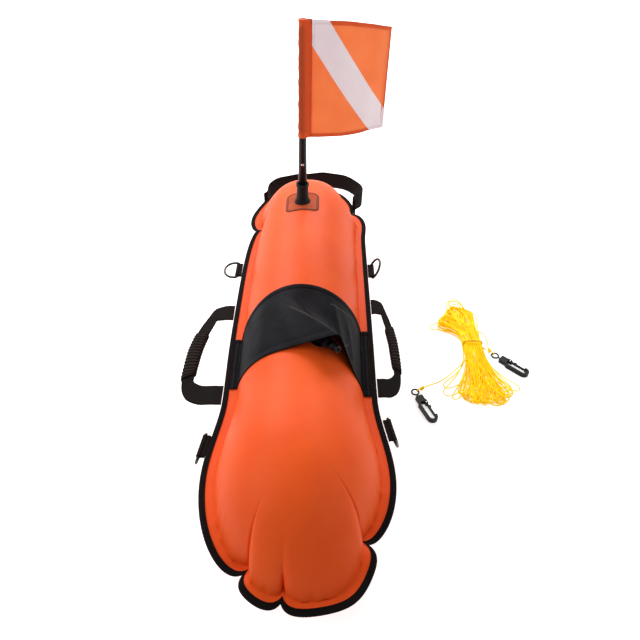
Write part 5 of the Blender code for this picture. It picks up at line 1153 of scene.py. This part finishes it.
# The deeper colour is painted shade where the dark mast stands behind the sleeve's cloth, and less at its
# two ends
mast_shade = np.interp(np.abs(angles - pi), (0.0, 1.2, 1.8, 2.5), (1.0, 1.0, 0.4, 0.0))
mast_shade = np.concatenate((np.zeros(3), mast_shade, np.zeros(4)))
ends = np.interp(levels, (FLAG_BOTTOM + 0.007, FLAG_BOTTOM + 0.012, FLAG_TOP - 0.012, FLAG_TOP - 0.007),
                 (0.15, 1.0, 1.0, 0.15))
sleeve = grid_piece("flag_sleeve_cloth", points, sleeve_nylon, "flag", "flag_sleeve",
                    amount=np.outer(np.append(ends, 0.0), mast_shade))
thickened(sleeve, FLAG_CLOTH)

# The side handles: 40 mm black polypropylene webbing, its two ends sewn to the rim and its middle
# folded double inside a ribbed rubber grip.

HANDLES = {"left": ((-0.12351, 0.34097), (-0.1267, 0.53697), 0.069),
           "right": ((0.12621, 0.35799), (0.12641, 0.55599), 0.040)}
LEG_INSIDE = 0.0007
LEG_THICKNESS = 0.0018
RUN_THICKNESS = 0.0060
# Both edges of the webbing, as shares of the handle's reach and span, and how far it is doubled
RAIL_SHARES = np.array((
    (0.00, -0.10, 0.00, 0.10, 0.0), (0.30, -0.10, 0.28, 0.10, 0.0), (0.55, -0.095, 0.52, 0.105, 0.0),
    (0.80, -0.055, 0.68, 0.13, 0.3), (0.95, 0.03, 0.73, 0.16, 0.7), (1.00, 0.13, 0.73, 0.20, 1.0),
    (1.00, 0.25, 0.73, 0.27, 1.0), (0.99, 0.38, 0.71, 0.38, 1.0), (0.97, 0.50, 0.69, 0.49, 1.0),
    (0.92, 0.61, 0.64, 0.60, 1.0), (0.85, 0.72, 0.58, 0.70, 1.0), (0.75, 0.84, 0.51, 0.79, 0.8),
    (0.62, 0.96, 0.45, 0.86, 0.5), (0.50, 1.05, 0.41, 0.89, 0.2), (0.33, 1.09, 0.30, 0.90, 0.0),
    (0.16, 1.10, 0.15, 0.90, 0.0), (0.00, 1.10, 0.00, 0.90, 0.0)))
RAIL_END = len(RAIL_SHARES) - 1
GRIP_START = 5.3
GRIP_END = 9.9
GRIP_RIBS = 15
RIB_STEPS = 8
GRIP_WALL = 0.0030
GRIP_RIB = 0.0011


def rail_row(station):
    """Shares of the webbing's two edges at a station, on a smooth curve through the listed ones."""
    index = min(int(station), RAIL_END - 1)
    near = [RAIL_SHARES[min(max(index + step, 0), RAIL_END)] for step in (-1, 0, 1, 2)]
    row = between(*near, station - index)
    row[4] = near[1][4] + (near[2][4] - near[1][4]) * (station - index)
    return row


def handle_section(station, stand, reach, span, outline, extra=0.0):
    """A closed section at a station: outline gives places (across, high), each from -1 to 1."""
    row = rail_row(station)
    high = (LEG_THICKNESS + (RUN_THICKNESS - LEG_THICKNESS) * row[4]) / 2 + extra
    outer = Vector((row[1] * span, row[0] * reach - LEG_INSIDE, 0.0))
    inner = Vector((row[3] * span, row[2] * reach - LEG_INSIDE, 0.0))
    middle = (outer + inner) / 2
    half = (outer - inner) / 2 + (outer - inner).normalized() * extra
    return [stand @ (middle + half * across + Vector((0.0, 0.0, high * rise))) for across, rise in outline]


def webbing_outline(count):
    """A flat section with thick selvedges and rounded edges."""
    places = np.linspace(-0.95, 0.95, count)
    rises = 0.90 + 0.10 * np.exp(-((np.abs(places) - 0.90) / 0.05) ** 2)
    top = list(zip(places, rises))
    return top + [(1.0, 0.45), (1.0, -0.45)] + [(-place, -rise) for place, rise in top] \
        + [(-1.0, -0.45), (-1.0, 0.45), top[0]]


webbing = woven_tape("black polypropylene webbing", "141110", "2b2623", 24.0, 150.0)
# Ribbed rubber: matt, with a brown bloom of wear in fine specks.
grip_rubber, shader = new_finish("ribbed black rubber", "150c09", 0.6, Specular_IOR_Level=0.08)
clouded(grip_rubber, shader, 160.0, 4.0, ("130a08", "281914"), (0.35, 0.75))
grained(grip_rubber, shader, 160.0, 4.0, 0.3, 0.0002)
WEBBING_OUTLINE = webbing_outline(13)
GRIP_OUTLINE = arc_points((0.0, 0.0), (1.0, 1.0), whole_turn(28), 0.62)

for label, (near, far, reach) in HANDLES.items():
    handle = label + "_handle"
    near = Vector((*near, 0.0))
    far = Vector((*far, 0.0))
    side = -1 if label == "left" else 1
    along = (far - near).normalized()
    out = Vector((side * along.y, -side * along.x, 0.0))
    stand = Matrix.Translation(near) @ Matrix((along, out, UP)).transposed().to_4x4()
    span = (far - near).length
    stations = np.linspace(0.0, RAIL_END, 97)
    rows = np.array([handle_section(station, stand, reach, span, WEBBING_OUTLINE) for station in stations])
    free = np.minimum(stations, RAIL_END - stations) > 0.6
    rows[..., 2] += 0.0005 * np.sin(stations * 2.6)[:, None] * free[:, None]
    grid_piece(handle + "_webbing", rows.transpose(1, 0, 2), webbing, handle, handle, closed=True)
    rows = []
    stations = np.linspace(GRIP_START, GRIP_END, GRIP_RIBS * RIB_STEPS + 1)
    for number, station in enumerate(stations):
        wave = 0.5 - 0.5 * cos(2 * pi * number / RIB_STEPS)
        end = min(number, len(stations) - 1 - number) / 3
        wall = GRIP_WALL - GRIP_RIB * (wave if end >= 1 else 0.25 + 0.4 * (1 - end))
        rows.append(handle_section(station, stand, reach, span, GRIP_OUTLINE, wall))
    for station in (GRIP_END, GRIP_START):
        rows.append(handle_section(station, stand, reach, span, GRIP_OUTLINE, 0.0004))
    grid_piece(label + "_grip_rubber", np.array(rows + rows[:1]).transpose(1, 0, 2), grip_rubber, handle,
               label + "_grip", closed=True)

# The grab strap: the same webbing on edge, sewn to the rim at both sides behind the tail.

STRAP_ROUTE = ((0.10821, 0.89782), (0.10326, 0.91092), (0.1245, 0.938), (0.121, 0.968), (0.103, 0.996),
               (0.072, 1.014), (0.035, 1.022), (0.0, 1.020), (-0.035, 1.011), (-0.066, 0.996),
               (-0.090, 0.970), (-0.09321, 0.93796), (-0.10026, 0.92586))
STRAP_STEP = 0.004
STRAP_HALF_WIDTH = 0.020
STRAP_HALF_THICKNESS = 0.0010

route = smooth_route([(x, y, 0.0) for x, y in STRAP_ROUTE], STRAP_STEP)
rows = []
for number, centre in enumerate(route):
    along = (route[min(number + 1, len(route) - 1)] - route[max(number - 1, 0)]).normalized()
    out = Vector((along.y, -along.x, 0.0))
    sag = 0.0012 * sin(number * 0.19) + 0.0008 * sin(number * 0.43)
    twist = 0.06 * sin(pi * number / (len(route) - 1)) * sin(number * 0.11)
    rows.append([centre + out * (STRAP_HALF_THICKNESS * rise + STRAP_HALF_WIDTH * across * twist)
                 + Vector((0.0, 0.0, STRAP_HALF_WIDTH * across + sag)) for across, rise in WEBBING_OUTLINE])
grid_piece("grab_strap_webbing", np.array(rows).transpose(1, 0, 2), webbing, "grab_strap", "grab_strap",
           closed=True)

# The D-rings: black coated steel rings, each held in a loop of webbing sewn to the rim.

TAB_HALF_LENGTH = 0.019
TAB_EYE = 0.009
TAB_OUTER = 0.0040
TAB_INNER = 0.0027
RING_WIRE = 0.0045
RING_HALF_WIDTH = 0.02275
RING_REACH = 0.026
RING_STRAIGHT = RING_REACH * 0.3
# Each ring: its tab's place, the ways along and out from the rim, and its swing in degrees at rest
RINGS = {"left_far": ((-0.12437, 0.665), (0.0, 1.0), (-1.0, 0.0), 0),
         "right_far": ((0.125, 0.664), (0.0, -1.0), (1.0, 0.0), 58),
         "left_near": ((-0.13105, 0.242), (0.1354, 0.99079), (-0.99079, 0.1354), -70),
         "right_near": ((0.13256, 0.2732), (0.1809, -0.9835), (0.9835, 0.1809), -70)}

# Coated steel: a thin, smooth black skin with a slight orange peel, glossier than the plastic.
ring_steel, shader = new_finish("black coated steel", "0e0e10", 0.32, Specular_IOR_Level=0.25,
                                Coat_Weight=0.25, Coat_Roughness=0.18)
grained(ring_steel, shader, 420.0, 2.0, 0.12, 0.0001)

tab_loop = [(0.0005, 0.0019), (0.0022, 0.0020), (0.0040, 0.0023)]
tab_loop += arc_points((TAB_EYE, 0.0), (TAB_OUTER, TAB_OUTER), np.radians(np.linspace(158, -158, 25)))
tab_loop += [(0.0040, -0.0023), (0.0022, -0.0020), (0.0005, -0.0019), (0.0005, -0.0001), (0.0040, -0.0002)]
tab_loop += arc_points((TAB_EYE, 0.0), (TAB_INNER, TAB_INNER), np.radians(np.linspace(-172, 172, 25)))
tab_loop += [(0.0040, 0.0002), (0.0005, 0.0001), (0.0005, 0.0019)]
TAB_STATIONS = ((-1.0, 0.91), (-0.985, 1.0), (-0.95, 1.0), (-0.5, 1.0), (0.0, 1.0), (0.5, 1.0), (0.95, 1.0),
                (0.985, 1.0), (1.0, 0.91))
ring_path = [(-RING_HALF_WIDTH * share, 0.0) for share in (0.86, 0.6, 0.3, 0.0, -0.3, -0.6, -0.86)]
ring_path += [(RING_HALF_WIDTH * 0.965, 0.0006), (RING_HALF_WIDTH, RING_WIRE * 0.5)]
ring_path += arc_points((0.0, RING_STRAIGHT), (RING_HALF_WIDTH, RING_REACH - RING_STRAIGHT),
                        np.linspace(0.0, pi, 29))
ring_path += [(-RING_HALF_WIDTH, RING_WIRE * 0.5), (-RING_HALF_WIDTH * 0.965, 0.0006)]

for label, (place, along, out, angle) in RINGS.items():
    axes = Matrix(((*along, 0.0), (*out, 0.0), UP)).transposed().to_4x4()
    stand = Matrix.Translation(Vector((*place, 0.0))) @ axes
    rows = [[stand @ Vector((TAB_HALF_LENGTH * share, reach, rise * thin)) for reach, rise in tab_loop]
            for share, thin in TAB_STATIONS]
    grid_piece("tab_" + label, rows, webbing, "float", "ring_tab_" + label, closed=True)
    swung = stand @ (Matrix.Translation((0.0, TAB_EYE, 0.0)) @ Matrix.Rotation(radians(angle), 4, "X"))
    rows = []
    for number, (x, reach) in enumerate(ring_path + ring_path[:1]):
        before = Vector(ring_path[(number - 1) % len(ring_path)])
        after = Vector(ring_path[(number + 1) % len(ring_path)])
        way = (after - before).normalized()
        square = Vector((way.y, -way.x, 0.0))
        rows.append([swung @ (Vector((x, reach, RING_WIRE / 2 * sin(turn)))
                              + square * RING_WIRE / 2 * cos(turn)) for turn in whole_turn(16)])
    grid_piece("ring_" + label, rows, ring_steel, "d_ring_" + label, "d_ring_" + label)
